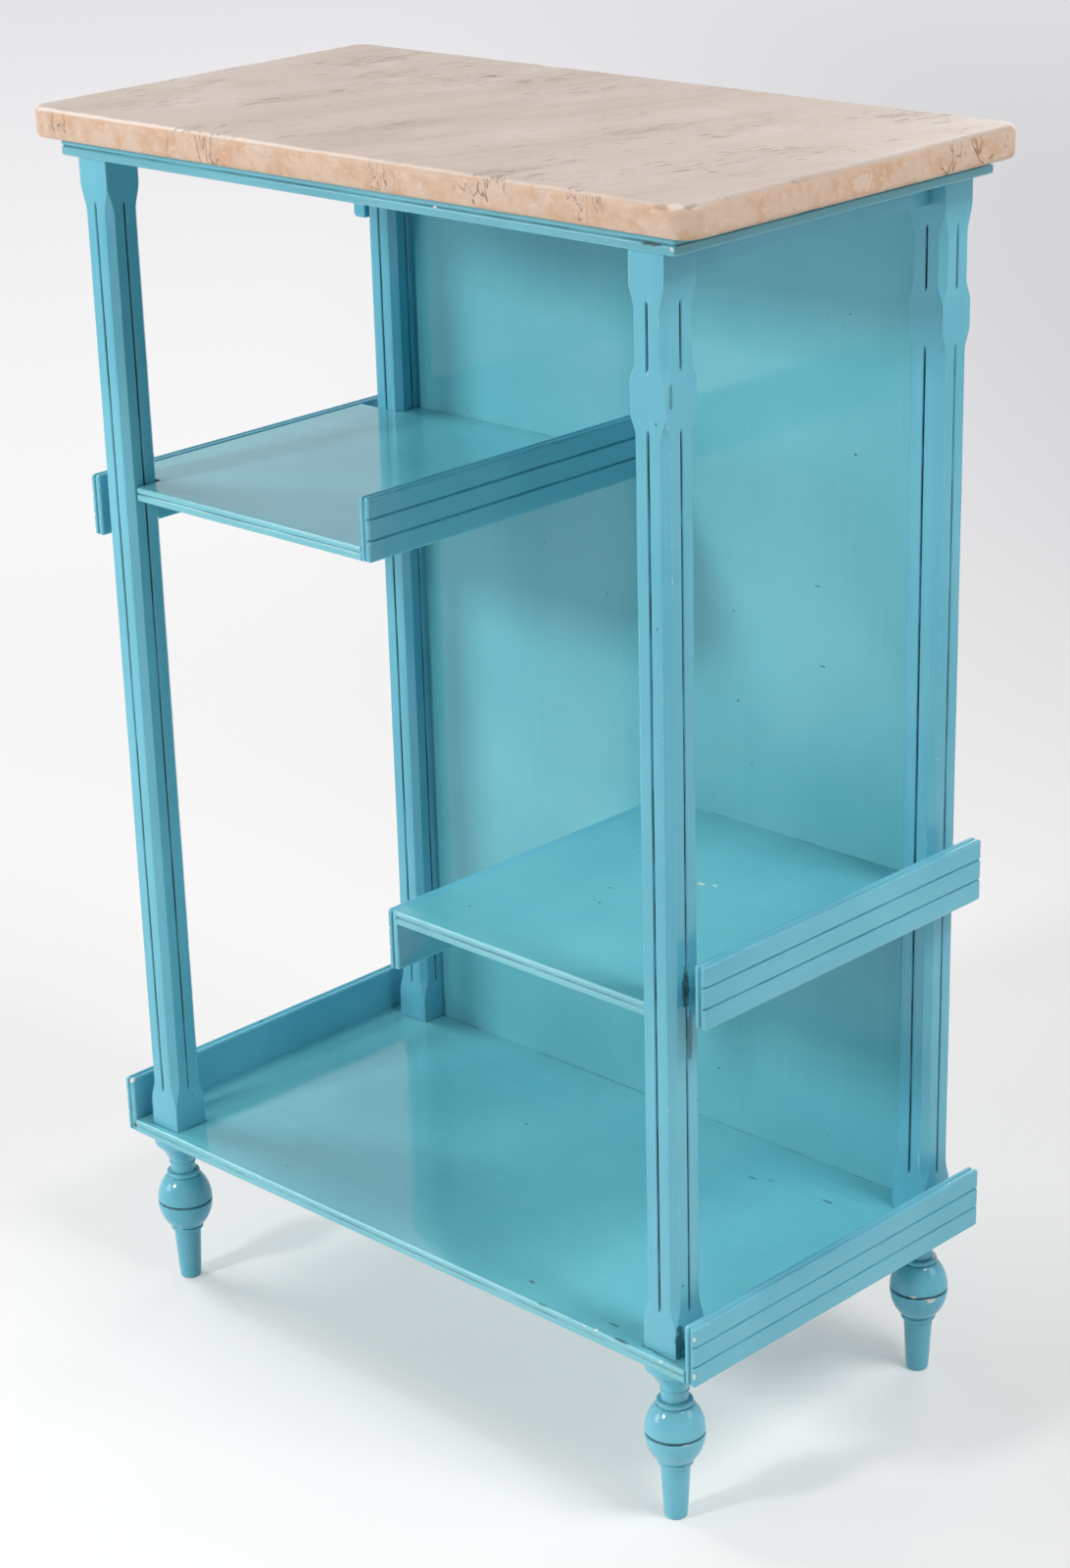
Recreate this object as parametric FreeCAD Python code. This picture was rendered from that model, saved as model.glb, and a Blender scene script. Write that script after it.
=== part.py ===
import FreeCAD, Part
import math
import os

Vector = FreeCAD.Vector

# A painted curio shelf on turned feet, with a stone slab on top.
# X runs along the front to the right, Y to the back and Z up. The pieces are worked out about
# the middle of the four posts, and then moved so that the origin is on the floor under the
# middle of the slab. Lengths are in millimetres.

# Posts
post_span_x = 506.0             # between post centres along the front
post_span_y = 264.0             # between post centres from front to back
post_side = 28.5                # square section
post_length = 734.5             # from the base board up to the sub-top board
chamfer_leg = 4.9               # width taken off each face by a corner chamfer
end_stop_length = 20.0          # curved run-out of a chamfer at the top and bottom of a post
middle_stop_length = 15.0       # curved run-out beside the extra block of a right post
chamfer_stop_lead = 0.25        # how far outside the corner a run-out starts
top_block_height = 17.7         # square part left at the top of a post
bottom_block_height = 18.8      # square part left at the bottom of a post
middle_block_drop = 81.6        # from the top of a right post down to its extra square block
middle_block_height = 16.0      # height of that extra block
post_groove_width = 2.3
post_groove_depth = 1.8
post_groove_end_share = 0.5     # how far along a chamfer stop a groove ends
post_groove_taper = 6.0         # length over which a groove runs out to nothing

# Boards
base_thickness = 10.2
base_front_overhang = 6.8       # past the post fronts
base_rear_overhang = 4.5        # past the post backs
sub_top_thickness = 12.3
sub_top_side_overhang = 12.8    # past the outer faces of the posts
sub_top_end_overhang = 4.5      # past the post fronts and backs
shelf_thickness = 10.2
shelf_front_setback = 6.0       # behind the post fronts
upper_shelf_rise = 505.2        # base board top to upper shelf top
lower_shelf_rise = 249.4        # base board top to lower shelf top
notch_clearance = 0.2           # shelf notch to post
board_edge_radius = 1.6
board_groove_share = 0.55       # height of the edge groove in the thickness of a board

# Stone slab
slab_thickness = 21.0
slab_side_overhang = 20.5       # past the ends of the sub-top board
slab_front_overhang = 11.1
slab_rear_overhang = 3.4
slab_corner_radius = 15.0
slab_top_edge_radius = 5.0
slab_bottom_edge_radius = 4.0

# Reeded galleries at the board ends
gallery_thickness = 9.6
gallery_height = 44.5
gallery_gap = 13.0              # post outer face to gallery inner face
gallery_edge_radius = 2.2
gallery_rear_reach = 6.0        # outer shelf galleries past the front of the back panel
gallery_groove_shares = (0.34, 0.67)
hung_gallery_rise = 1.0         # upper outer gallery above its shelf
lower_gallery_lift = 4.4        # lower outer gallery above the underside of its shelf
reed_groove_width = 2.0
reed_groove_depth = 1.6

# Back panel
panel_thickness = 6.5
panel_rear_inset = 1.75         # behind the post backs
panel_rebate_width = 9.0        # overlap of the panel on each rear post

# Top rail at the right end
rail_height = 17.0
rail_thickness = 12.0
rail_outer_setback = 12.2       # behind the outer faces of the right posts

# Cleat on the outer face of the rear left post
cleat_thickness = 11.2
cleat_height = 86.6
cleat_corner_radius = 3.0

# Feet, from the floor up
foot_sole_radius = 8.2
foot_sole_round = 2.0
foot_leg_length = 41.505
foot_leg_top_radius = 10.4
foot_ring_radius = 12.5
foot_ring_height = 4.4
foot_ball_radius = 21.0
foot_ball_rise = 26.7           # half the height of the ball if it were whole
foot_ball_groove_width = 2.4    # round the widest line of the ball
foot_ball_groove_depth = 1.5
foot_collar_radius = 12.8
foot_collar_height = 4.0
foot_neck_radius = 9.6
foot_neck_length = 8.5
foot_cove_radius = 20.0
foot_cove_height = 16.4
foot_cove_hollow = 1.3          # how far the flare is hollowed from a straight cone
foot_rim_height = 5.0           # round edge above the flare
foot_tenon_radius = 6.0
foot_tenon_reach = 25.0         # into the post

# Fasteners
bore_clearance = 0.2            # around dowels, screws, pins and tenons
end_clearance = 1.0             # beyond the inner end of a dowel, screw, pin or tenon
dowel_radius = 3.0
dowel_length = 18.0
dowel_chamfer = 0.6
rail_dowel_reach = 9.0          # into the post
shelf_dowel_reach = 8.0         # into the post
gallery_dowel_radius = 1.5
gallery_dowel_length = 16.0
gallery_dowel_reach = 5.5       # into the gallery
gallery_dowel_count = 3
gallery_dowel_margin = 30.0     # from the end of the joint to the first dowel
screw_radius = 1.9
screw_head_radius = 3.8
screw_head_height = 2.6
screw_slot_width = 0.9
screw_slot_depth = 1.0
screw_tip_length = 5.0
screw_sink = 0.3                # head below the surface
sub_top_screw_length = 38.0
shelf_screw_length = 28.0
shelf_screw_count = 3
shelf_screw_margin = 35.0       # from the end of a shelf to its first screw
cleat_screw_length = 24.0
cleat_screw_count = 2
cleat_screw_margin = 18.0       # from the bottom of the cleat to its first screw
cleat_screw_pitch = 24.0
pin_radius = 0.8
pin_head_radius = 1.7
pin_head_height = 0.8
pin_length = 20.0
pin_tip_length = 2.5
pin_count = 6                   # along each rear post
pin_margin = 30.0               # from the ends of the panel to the first pin

overrun = 2.0                   # how far a cutter reaches past the surface it cuts
same_place_share = 1e-6         # two places nearer than this share of their value are the same

# Levels and faces worked out from the sizes above
collar_base = foot_ball_rise * math.sqrt(1 - (foot_collar_radius / foot_ball_radius) ** 2)
ring_top_drop = foot_ball_rise * math.sqrt(1 - (foot_ring_radius / foot_ball_radius) ** 2)
ball_level = foot_leg_length + foot_ring_height + ring_top_drop
collar_level = ball_level + collar_base
neck_level = collar_level + foot_collar_height
cove_level = neck_level + foot_neck_length
rim_level = cove_level + foot_cove_height
base_bottom = rim_level + foot_rim_height
base_top = base_bottom + base_thickness
sub_top_bottom = base_top + post_length
sub_top_top = sub_top_bottom + sub_top_thickness
slab_top = sub_top_top + slab_thickness
upper_shelf_top = base_top + upper_shelf_rise
lower_shelf_top = base_top + lower_shelf_rise

post_x = post_span_x / 2
post_y = post_span_y / 2
post_half = post_side / 2
post_outer_x = post_x + post_half
post_inner_x = post_x - post_half
post_front_y = -post_y - post_half
post_back_y = post_y + post_half
case_end_x = post_outer_x + gallery_gap
base_front_y = post_front_y - base_front_overhang
base_rear_y = post_back_y + base_rear_overhang
shelf_front_y = post_front_y + shelf_front_setback
panel_rear_y = post_back_y - panel_rear_inset
panel_front_y = panel_rear_y - panel_thickness
outer_gallery_rear_y = panel_front_y + gallery_rear_reach
rear_post_front_y = post_y - post_half
front_post_back_y = post_half - post_y

up = Vector(0, 0, 1)
right = Vector(1, 0, 0)
back = Vector(0, 1, 0)
full_turn = 360


def block(x0, x1, y0, y1, z0, z1):
    return Part.makeBox(x1 - x0, y1 - y0, z1 - z0, Vector(x0, y0, z0))


def spread(first, last, count):
    """Evenly spaced places from first to last."""
    return [first + (last - first) * i / (count - 1) for i in range(count)]


def carved(shape, cutters):
    """The shape with every cutter taken out of it."""
    return shape.cut(cutters)


def turned(points):
    """Solid of revolution about Z from a closed outline of (radius, height) points."""
    outline = [Vector(r, 0, z) for r, z in points]
    face = Part.Face(Part.makePolygon(outline + outline[:1]))
    return face.revolve(Vector(0, 0, 0), up, full_turn)


def aimed(shape, place, direction):
    """A copy of a shape made along +Z from the origin, moved to a place and a direction."""
    copy = shape.copy()
    copy.Placement = FreeCAD.Placement(place, FreeCAD.Rotation(up, direction))
    return copy


def groove_cutter(start, end, outward, width, depth, taper):
    """V-groove along a line on a face, running out to nothing over the taper at both ends."""
    along = (end - start).normalize()
    aside = along.cross(outward)
    rise = outward * overrun
    half = aside * (width / 2 * (1 + overrun / depth))
    lead = along * (taper * overrun / depth)
    first = start + along * taper
    last = end - along * taper
    tip0 = start - lead + rise
    tip1 = end + lead + rise
    deep0 = first - outward * depth
    deep1 = last - outward * depth
    left0 = first + rise + half
    left1 = last + rise + half
    right0 = first + rise - half
    right1 = last + rise - half
    outlines = [
        [tip0, left0, left1, tip1, right1, right0],
        [left0, deep0, deep1, left1],
        [right0, right1, deep1, deep0],
        [tip0, deep0, left0],
        [tip0, right0, deep0],
        [tip1, left1, deep1],
        [tip1, deep1, right1],
    ]
    faces = [Part.Face(Part.makePolygon(o + o[:1])) for o in outlines]
    solid = Part.Solid(Part.Shell(faces))
    if solid.Volume < 0:
        solid.reverse()
    return solid


def through_groove(start, end, outward):
    """Reed groove that runs out past both ends of a face."""
    past = (end - start).normalize() * (overrun + reed_groove_depth)
    return groove_cutter(start - past, end + past, outward,
                         reed_groove_width, reed_groove_depth, reed_groove_depth)


def chamfer_cutter(corner, side_x, side_y, low, high):
    """Corner chamfer of a post between two ends, each a level and the length of its S-curved stop."""
    deep = -chamfer_leg / math.sqrt(2)
    lead = chamfer_stop_lead
    drop = lead - deep
    out = Vector(side_x, side_y, 0).normalize()
    aside = up.cross(out)
    middle = (lead + deep) / 2

    def place(r, z):
        return corner + out * r + up * z

    def stop(z, length, way):
        """The two arcs of a stop that starts at z and runs the way of the chamfer."""
        arc_radius = (length ** 2 + drop ** 2) / (4 * drop)
        half_turn = math.asin(length / 2 / arc_radius) / 2
        sag = arc_radius * (1 - math.cos(half_turn))
        run = arc_radius * math.sin(half_turn)
        full = way * length
        bend = place(middle, z + full / 2)
        first = Part.Arc(place(lead, z), place(lead - sag, z + way * run), bend)
        second = Part.Arc(bend, place(deep + sag, z + full - way * run), place(deep, z + full))
        return [first.toShape(), second.toShape()]

    z0, low_length = low
    z1, high_length = high
    flat = Part.makeLine(place(deep, z0 + low_length), place(deep, z1 - high_length))
    far = lead + overrun
    outside = Part.makePolygon([place(lead, z1), place(far, z1), place(far, z0), place(lead, z0)])
    edges = stop(z0, low_length, 1) + [flat] + stop(z1, high_length, -1)[::-1] + outside.Edges
    face = Part.Face(Part.Wire(Part.__sortEdges__(edges)))
    reach = chamfer_leg + overrun
    face.translate(aside * -reach)
    return face.extrude(aside * (2 * reach))


def post(side_x, side_y, runs, bores):
    """Square post with stopped chamfers and grooves over each run of its length."""
    x = side_x * post_x
    y = side_y * post_y
    body = block(x - post_half, x + post_half, y - post_half, y + post_half,
                 base_top, sub_top_bottom)
    cutters = list(bores)
    rebated = (-side_x, 1) if side_y > 0 else None
    for low, high in runs:
        for corner in ((-1, -1), (1, -1), (1, 1), (-1, 1)):
            if corner != rebated:
                foot = Vector(x + corner[0] * post_half, y + corner[1] * post_half, 0)
                cutters.append(chamfer_cutter(foot, corner[0], corner[1], low, high))
        for outward in (right, -right, back, -back):
            middle = Vector(x, y, 0) + outward * post_half
            start = middle + up * (low[0] + low[1] * post_groove_end_share)
            end = middle + up * (high[0] - high[1] * post_groove_end_share)
            cutters.append(groove_cutter(start, end, outward, post_groove_width,
                                         post_groove_depth, post_groove_taper))
    if rebated:
        edge = sorted((side_x * (post_inner_x - overrun),
                       side_x * (post_inner_x + panel_rebate_width)))
        cutters.append(block(edge[0], edge[1], panel_front_y, post_back_y + overrun,
                             base_top - overrun, sub_top_bottom + overrun))
    return carved(body, cutters)


def edges_at(shape, test):
    """Edges of a shape whose two ends both pass a test."""
    return [e for e in shape.Edges if all(test(v.Point) for v in e.Vertexes)]


def near(a, b):
    return math.isclose(a, b, rel_tol=same_place_share)


def gallery(inner_x, side, y0, y1, z0, flush_top, bores):
    """Reeded end board: grooves along its outer face, round its ends and along its top edge."""
    outer_x = inner_x + side * gallery_thickness
    middle_x = inner_x + side * gallery_thickness / 2
    z1 = z0 + gallery_height
    xs = sorted((inner_x, outer_x))
    body = block(xs[0], xs[1], y0, y1, z0, z1)
    kept = edges_at(body, lambda p: flush_top and near(p.x, inner_x) and near(p.z, z1))
    rounded = [e for e in body.Edges if not any(e.isSame(k) for k in kept)]
    body = body.makeFillet(gallery_edge_radius, rounded)
    cutters = list(bores)
    for share in gallery_groove_shares:
        z = z0 + share * gallery_height
        cutters.append(through_groove(Vector(outer_x, y0, z), Vector(outer_x, y1, z), right * side))
    for y, outward in ((y0, -back), (y1, back)):
        cutters.append(through_groove(Vector(middle_x, y, z0), Vector(middle_x, y, z1), outward))
    if not flush_top:
        cutters.append(through_groove(Vector(middle_x, y0, z1), Vector(middle_x, y1, z1), up))
    return carved(body, cutters)


def edge_grooved(body, x0, x1, y, z0, z1):
    """A board with its front edge rounded above and below, and grooved along its length."""
    front = edges_at(body, lambda p: near(p.y, y))
    long_edges = [e for e in front if near(e.Vertexes[0].Z, e.Vertexes[1].Z)]
    body = body.makeFillet(board_edge_radius, long_edges)
    z = z0 + board_groove_share * (z1 - z0)
    return carved(body, [through_groove(Vector(x0, y, z), Vector(x1, y, z), -back)])


def base_board(bores):
    body = block(-case_end_x, case_end_x, base_front_y, base_rear_y, base_bottom, base_top)
    body = edge_grooved(body, -case_end_x, case_end_x, base_front_y, base_bottom, base_top)
    return carved(body, bores)


def shelf(side, top, bores):
    """Half-width shelf, notched round the front and rear posts on its own side."""
    bottom = top - shelf_thickness
    inner = sorted((side * gallery_thickness, side * (post_inner_x - notch_clearance)))
    outer = sorted((side * post_inner_x / 2, side * case_end_x))
    main = block(inner[0], inner[1], shelf_front_y, panel_front_y, bottom, top)
    tongue = block(outer[0], outer[1], front_post_back_y + notch_clearance,
                   rear_post_front_y - notch_clearance, bottom, top)
    body = main.fuse(tongue).removeSplitter()
    body = edge_grooved(body, inner[0], inner[1], shelf_front_y, bottom, top)
    return carved(body, bores)


def sub_top_board(bores):
    x = post_outer_x + sub_top_side_overhang
    y0 = post_front_y - sub_top_end_overhang
    y1 = post_back_y + sub_top_end_overhang
    body = block(-x, x, y0, y1, sub_top_bottom, sub_top_top)
    body = body.makeFillet(board_edge_radius, body.Edges)
    z = sub_top_bottom + board_groove_share * sub_top_thickness
    corners = [Vector(-x, y0, z), Vector(x, y0, z), Vector(x, y1, z), Vector(-x, y1, z)]
    ways = (-back, right, back, -right)
    grooves = [through_groove(corners[i], corners[(i + 1) % 4], ways[i]) for i in range(4)]
    return carved(body, grooves + bores)


def stone_top():
    x = post_outer_x + sub_top_side_overhang + slab_side_overhang
    y0 = post_front_y - sub_top_end_overhang - slab_front_overhang
    y1 = post_back_y + sub_top_end_overhang + slab_rear_overhang
    body = block(-x, x, y0, y1, sub_top_top, slab_top)
    upright = [e for e in body.Edges if not near(e.Vertexes[0].Z, e.Vertexes[1].Z)]
    body = body.makeFillet(slab_corner_radius, upright)
    body = body.makeFillet(slab_top_edge_radius, edges_at(body, lambda p: near(p.z, slab_top)))
    return body.makeFillet(slab_bottom_edge_radius, edges_at(body, lambda p: near(p.z, sub_top_top)))


def top_rail(bores):
    outer = post_outer_x - rail_outer_setback
    body = block(outer - rail_thickness, outer, front_post_back_y, rear_post_front_y,
                 sub_top_bottom - rail_height, sub_top_bottom)
    return carved(body, bores)


def back_panel(bores):
    x = post_inner_x + panel_rebate_width
    return carved(block(-x, x, panel_front_y, panel_rear_y, base_top, sub_top_bottom), bores)


def cleat(bores):
    """Block against the outer face of the rear left post, under the sub-top board."""
    x1 = -post_outer_x
    x0 = x1 - cleat_thickness
    z0 = sub_top_bottom - cleat_height
    body = block(x0, x1, rear_post_front_y, post_back_y, z0, sub_top_bottom)
    corner = edges_at(body, lambda p: near(p.x, x0) and near(p.z, z0))
    return carved(body.makeFillet(cleat_corner_radius, corner), bores)


def foot_outline():
    """Edges of half a foot from the sole up: leg, ring, ball, collar, neck, flare, rim and tenon."""
    tip = foot_sole_radius - foot_sole_round
    diagonal = math.sqrt(0.5)
    low_angle = math.asin(ring_top_drop / foot_ball_rise) / 2
    high_angle = math.asin(collar_base / foot_ball_rise) / 2
    ring_top = foot_leg_length + foot_ring_height
    tenon_top = base_top + foot_tenon_reach

    def at(radius, z):
        return Vector(radius, 0, z)

    sole = at(foot_sole_radius, foot_sole_round)
    leg_top = at(foot_leg_top_radius, foot_leg_length)
    ring_middle = at(foot_ring_radius, foot_leg_length + foot_ring_height / 2)
    ring_end = at(foot_ring_radius, ring_top)
    belt = at(foot_ball_radius, ball_level)
    collar = at(foot_collar_radius, collar_level)
    neck = at(foot_neck_radius, cove_level)
    rim = at(foot_cove_radius, rim_level)
    sole_bend = at(tip + foot_sole_round * diagonal, foot_sole_round * (1 - diagonal))
    low_bend = at(foot_ball_radius * math.cos(low_angle),
                  ball_level - foot_ball_rise * math.sin(low_angle))
    high_bend = at(foot_ball_radius * math.cos(high_angle),
                   ball_level + foot_ball_rise * math.sin(high_angle))
    cove_bend = at((foot_neck_radius + foot_cove_radius) / 2 - foot_cove_hollow,
                   (cove_level + rim_level) / 2)
    edges = [Part.makeLine(at(0, 0), at(tip, 0)), Part.Arc(at(tip, 0), sole_bend, sole).toShape()]
    edges += Part.makePolygon([sole, leg_top, ring_middle, ring_end]).Edges
    edges.append(Part.Arc(ring_end, low_bend, belt).toShape())
    edges.append(Part.Arc(belt, high_bend, collar).toShape())
    edges += Part.makePolygon([collar, at(foot_collar_radius, neck_level),
                               at(foot_neck_radius, neck_level), neck]).Edges
    edges.append(Part.Arc(neck, cove_bend, rim).toShape())
    edges += Part.makePolygon([rim, at(foot_cove_radius, base_bottom), at(foot_tenon_radius, base_bottom),
                               at(foot_tenon_radius, tenon_top), at(0, tenon_top), at(0, 0)]).Edges
    return edges


def foot(x, y):
    """Turned foot with a groove round its ball and a tenon on top."""
    body = Part.Face(Part.Wire(foot_outline())).revolve(Vector(0, 0, 0), up, full_turn)
    groove = turned([(foot_ball_radius - foot_ball_groove_depth, ball_level),
                     (foot_ball_radius + overrun, ball_level - foot_ball_groove_width),
                     (foot_ball_radius + overrun, ball_level + foot_ball_groove_width)])
    body = carved(Part.Solid(body), [groove])
    body.translate(Vector(x, y, 0))
    return body


def dowel(radius, length, margin):
    """Dowel along +Z with its middle at the origin; with a margin, the bore that takes it."""
    low = -length / 2
    high = length / 2
    if margin:
        return Part.makeCylinder(radius + margin, length + 2 * end_clearance,
                                 Vector(0, 0, low - end_clearance))
    return turned([(0, low), (radius - dowel_chamfer, low), (radius, low + dowel_chamfer),
                   (radius, high - dowel_chamfer), (radius - dowel_chamfer, high), (0, high)])


def frame_dowel(margin):
    """Dowel of the rail and of the shelf ends in the posts."""
    return dowel(dowel_radius, dowel_length, margin)


def gallery_dowel(margin):
    """Thin dowel between a board end and its gallery."""
    return dowel(gallery_dowel_radius, gallery_dowel_length, margin)


def screw(length, margin):
    """Slotted countersunk screw along +Z from its head; with a margin, the hole that takes it."""
    if margin:
        head = screw_head_radius + margin
        shank = screw_radius + margin
        return turned([(0, -overrun), (head, -overrun), (head, screw_sink), (shank, screw_head_height),
                       (shank, length + end_clearance), (0, length + end_clearance)])
    body = turned([(0, screw_sink), (screw_head_radius, screw_sink),
                   (screw_radius, screw_head_height),
                   (screw_radius, length - screw_tip_length), (0, length)])
    slot = block(-screw_head_radius, screw_head_radius,
                 -screw_slot_width / 2, screw_slot_width / 2, 0, screw_sink + screw_slot_depth)
    return carved(body, [slot])


def pin(margin):
    """Flat-headed panel pin along +Z from its head; with a margin, the hole that takes it."""
    head = pin_head_radius + margin
    shank = pin_radius + margin
    if margin:
        return turned([(0, -overrun), (head, -overrun), (head, pin_head_height),
                       (shank, pin_head_height),
                       (shank, pin_length + end_clearance), (0, pin_length + end_clearance)])
    return turned([(0, 0), (head, 0), (head, pin_head_height), (shank, pin_head_height),
                   (shank, pin_length - pin_tip_length), (0, pin_length)])


def placed(make, places):
    """The fasteners at a list of (place, direction), and the holes that take them."""
    solids = [aimed(make(0), place, way) for place, way in places]
    holes = [aimed(make(bore_clearance), place, way) for place, way in places]
    return solids, holes


def gallery_joint(inner_x, side, y0, y1, z):
    """Places of the dowels between a board end and its gallery."""
    x = inner_x + side * (gallery_dowel_reach - gallery_dowel_length / 2)
    ys = spread(y0 + gallery_dowel_margin, y1 - gallery_dowel_margin, gallery_dowel_count)
    return [(Vector(x, y, z), right) for y in ys]


def tenon_bore(x, y):
    length = base_thickness + foot_tenon_reach + end_clearance
    return Part.makeCylinder(foot_tenon_radius + bore_clearance, length, Vector(x, y, base_bottom))


corners = {
    "front_left": (-1, -1),
    "front_right": (1, -1),
    "rear_left": (-1, 1),
    "rear_right": (1, 1),
}
upper_shelf_bottom = upper_shelf_top - shelf_thickness
lower_shelf_bottom = lower_shelf_top - shelf_thickness
upper_shelf_middle = upper_shelf_top - shelf_thickness / 2
lower_shelf_middle = lower_shelf_top - shelf_thickness / 2
base_middle = base_top - base_thickness / 2
lower_gallery_bottom = lower_shelf_bottom + lower_gallery_lift

# Screws down through the sub-top board into the posts
sub_top_screws, sub_top_holes = placed(
    lambda margin: screw(sub_top_screw_length, margin),
    [(Vector(sx * post_x, sy * post_y, sub_top_top), -up) for sx, sy in corners.values()])

# Dowels between the top rail and the right posts
rail_middle_x = post_outer_x - rail_outer_setback - rail_thickness / 2
rail_middle_z = sub_top_bottom - rail_height / 2
rail_dowel_y = front_post_back_y - rail_dowel_reach + dowel_length / 2
rail_dowels, rail_holes = placed(
    frame_dowel,
    [(Vector(rail_middle_x, side * rail_dowel_y, rail_middle_z), back) for side in (-1, 1)])

# Dowels between the boards and their end galleries, half way up where the two meet
base_gallery_dowels, base_gallery_holes = placed(
    gallery_dowel,
    gallery_joint(-case_end_x, -1, base_front_y, base_rear_y, base_middle)
    + gallery_joint(case_end_x, 1, base_front_y, base_rear_y, base_middle))
upper_shelf_dowels, upper_shelf_holes = placed(
    gallery_dowel,
    gallery_joint(-case_end_x, -1, front_post_back_y, rear_post_front_y, upper_shelf_middle)
    + gallery_joint(-gallery_thickness, 1, shelf_front_y, panel_front_y, upper_shelf_middle))
lower_gallery_meeting = (lower_gallery_bottom + lower_shelf_top) / 2
lower_shelf_dowels, lower_shelf_holes = placed(
    gallery_dowel,
    gallery_joint(gallery_thickness, -1, shelf_front_y, panel_front_y, lower_shelf_middle)
    + gallery_joint(case_end_x, 1, front_post_back_y, rear_post_front_y, lower_gallery_meeting))

# Dowels between the shelves and the inner faces of the posts
shelf_dowel_x = post_inner_x + shelf_dowel_reach - dowel_length / 2
front_dowel_y = (shelf_front_y + front_post_back_y) / 2
rear_dowel_y = (rear_post_front_y + panel_front_y) / 2
shelf_sides = ((-1, upper_shelf_middle), (1, lower_shelf_middle))
shelf_post_dowels, shelf_post_holes = placed(
    frame_dowel,
    [(Vector(side * shelf_dowel_x, y, z), right)
     for side, z in shelf_sides for y in (front_dowel_y, rear_dowel_y)])

# Screws through the back panel into the shelves, and pins into the rear posts
shelf_screw_xs = spread(gallery_thickness + shelf_screw_margin, post_inner_x - shelf_screw_margin,
                        shelf_screw_count)
shelf_back_screws, shelf_back_holes = placed(
    lambda margin: screw(shelf_screw_length, margin),
    [(Vector(side * x, panel_rear_y, z), -back) for side, z in shelf_sides for x in shelf_screw_xs])
pin_x = post_inner_x + panel_rebate_width / 2
pin_zs = spread(base_top + pin_margin, sub_top_bottom - pin_margin, pin_count)
back_panel_pins, pin_holes = placed(
    pin, [(Vector(side * pin_x, panel_rear_y, z), -back) for side in (-1, 1) for z in pin_zs])

# Screws through the cleat into the rear left post
cleat_screw_x = -post_outer_x - cleat_thickness
cleat_screw_z = sub_top_bottom - cleat_height + cleat_screw_margin
cleat_screws, cleat_holes = placed(
    lambda margin: screw(cleat_screw_length, margin),
    [(Vector(cleat_screw_x, post_y, cleat_screw_z + i * cleat_screw_pitch), right)
     for i in range(cleat_screw_count)])

# Chamfered runs of the posts: one long run on the left, a short and a long one on the right
run_bottom = (base_top + bottom_block_height, end_stop_length)
run_top = (sub_top_bottom - top_block_height, end_stop_length)
block_top = (sub_top_bottom - middle_block_drop, middle_stop_length)
block_bottom = (block_top[0] - middle_block_height, middle_stop_length)
left_runs = [(run_bottom, run_top)]
right_runs = [(run_bottom, block_bottom), (block_top, run_top)]

nodes = {}
tenon_bores = []
post_holes = sub_top_holes + rail_holes + shelf_post_holes + pin_holes + cleat_holes
for name, (side_x, side_y) in corners.items():
    bore = tenon_bore(side_x * post_x, side_y * post_y)
    tenon_bores.append(bore)
    runs = left_runs if side_x < 0 else right_runs
    nodes[name + "_post"] = post(side_x, side_y, runs, post_holes + [bore])
    nodes[name + "_foot"] = foot(side_x * post_x, side_y * post_y)

shelf_holes = shelf_post_holes + shelf_back_holes
nodes["base_board"] = base_board(tenon_bores + base_gallery_holes)
nodes["base_left_gallery"] = gallery(
    -case_end_x, -1, base_front_y, base_rear_y, base_bottom, False, base_gallery_holes)
nodes["base_right_gallery"] = gallery(
    case_end_x, 1, base_front_y, base_rear_y, base_bottom, False, base_gallery_holes)
nodes["upper_left_shelf"] = shelf(-1, upper_shelf_top, upper_shelf_holes + shelf_holes)
nodes["upper_left_shelf_outer_gallery"] = gallery(
    -case_end_x, -1, shelf_front_y, outer_gallery_rear_y,
    upper_shelf_top + hung_gallery_rise - gallery_height, False, upper_shelf_holes)
nodes["upper_left_shelf_inner_gallery"] = gallery(
    -gallery_thickness, 1, shelf_front_y, panel_front_y, upper_shelf_bottom, False, upper_shelf_holes)
nodes["lower_right_shelf"] = shelf(1, lower_shelf_top, lower_shelf_holes + shelf_holes)
nodes["lower_right_shelf_inner_gallery"] = gallery(
    gallery_thickness, -1, shelf_front_y, panel_front_y,
    lower_shelf_top - gallery_height, True, lower_shelf_holes)
nodes["lower_right_shelf_outer_gallery"] = gallery(
    case_end_x, 1, shelf_front_y, outer_gallery_rear_y, lower_gallery_bottom, False, lower_shelf_holes)
nodes["back_panel"] = back_panel(shelf_back_holes + pin_holes)
nodes["right_top_rail"] = top_rail(rail_holes)
nodes["rear_left_cleat"] = cleat(cleat_holes)
nodes["sub_top_board"] = sub_top_board(sub_top_holes)
nodes["stone_top"] = stone_top()

# Fasteners, each kind of a joint as one group of separate solids
groups = {
    "sub_top_screws": sub_top_screws,
    "rail_dowels": rail_dowels,
    "base_gallery_dowels": base_gallery_dowels,
    "upper_left_shelf_dowels": upper_shelf_dowels,
    "lower_right_shelf_dowels": lower_shelf_dowels,
    "shelf_post_dowels": shelf_post_dowels,
    "shelf_back_screws": shelf_back_screws,
    "back_panel_pins": back_panel_pins,
    "cleat_screws": cleat_screws,
}
for name, solids in groups.items():
    nodes[name] = Part.makeCompound(solids)

# The slab stands out further in front than behind, and its middle sets the origin
slab_offset = (slab_front_overhang - slab_rear_overhang) / 2
os.makedirs("parts", exist_ok=True)
for name, shape in nodes.items():
    shape.translate(back * slab_offset)
    shape.exportStep("parts/" + name + ".step")
    print(name, len(shape.Solids), "valid" if shape.isValid() else "NOT VALID", round(shape.Volume))
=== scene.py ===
import itertools
import math

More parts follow.
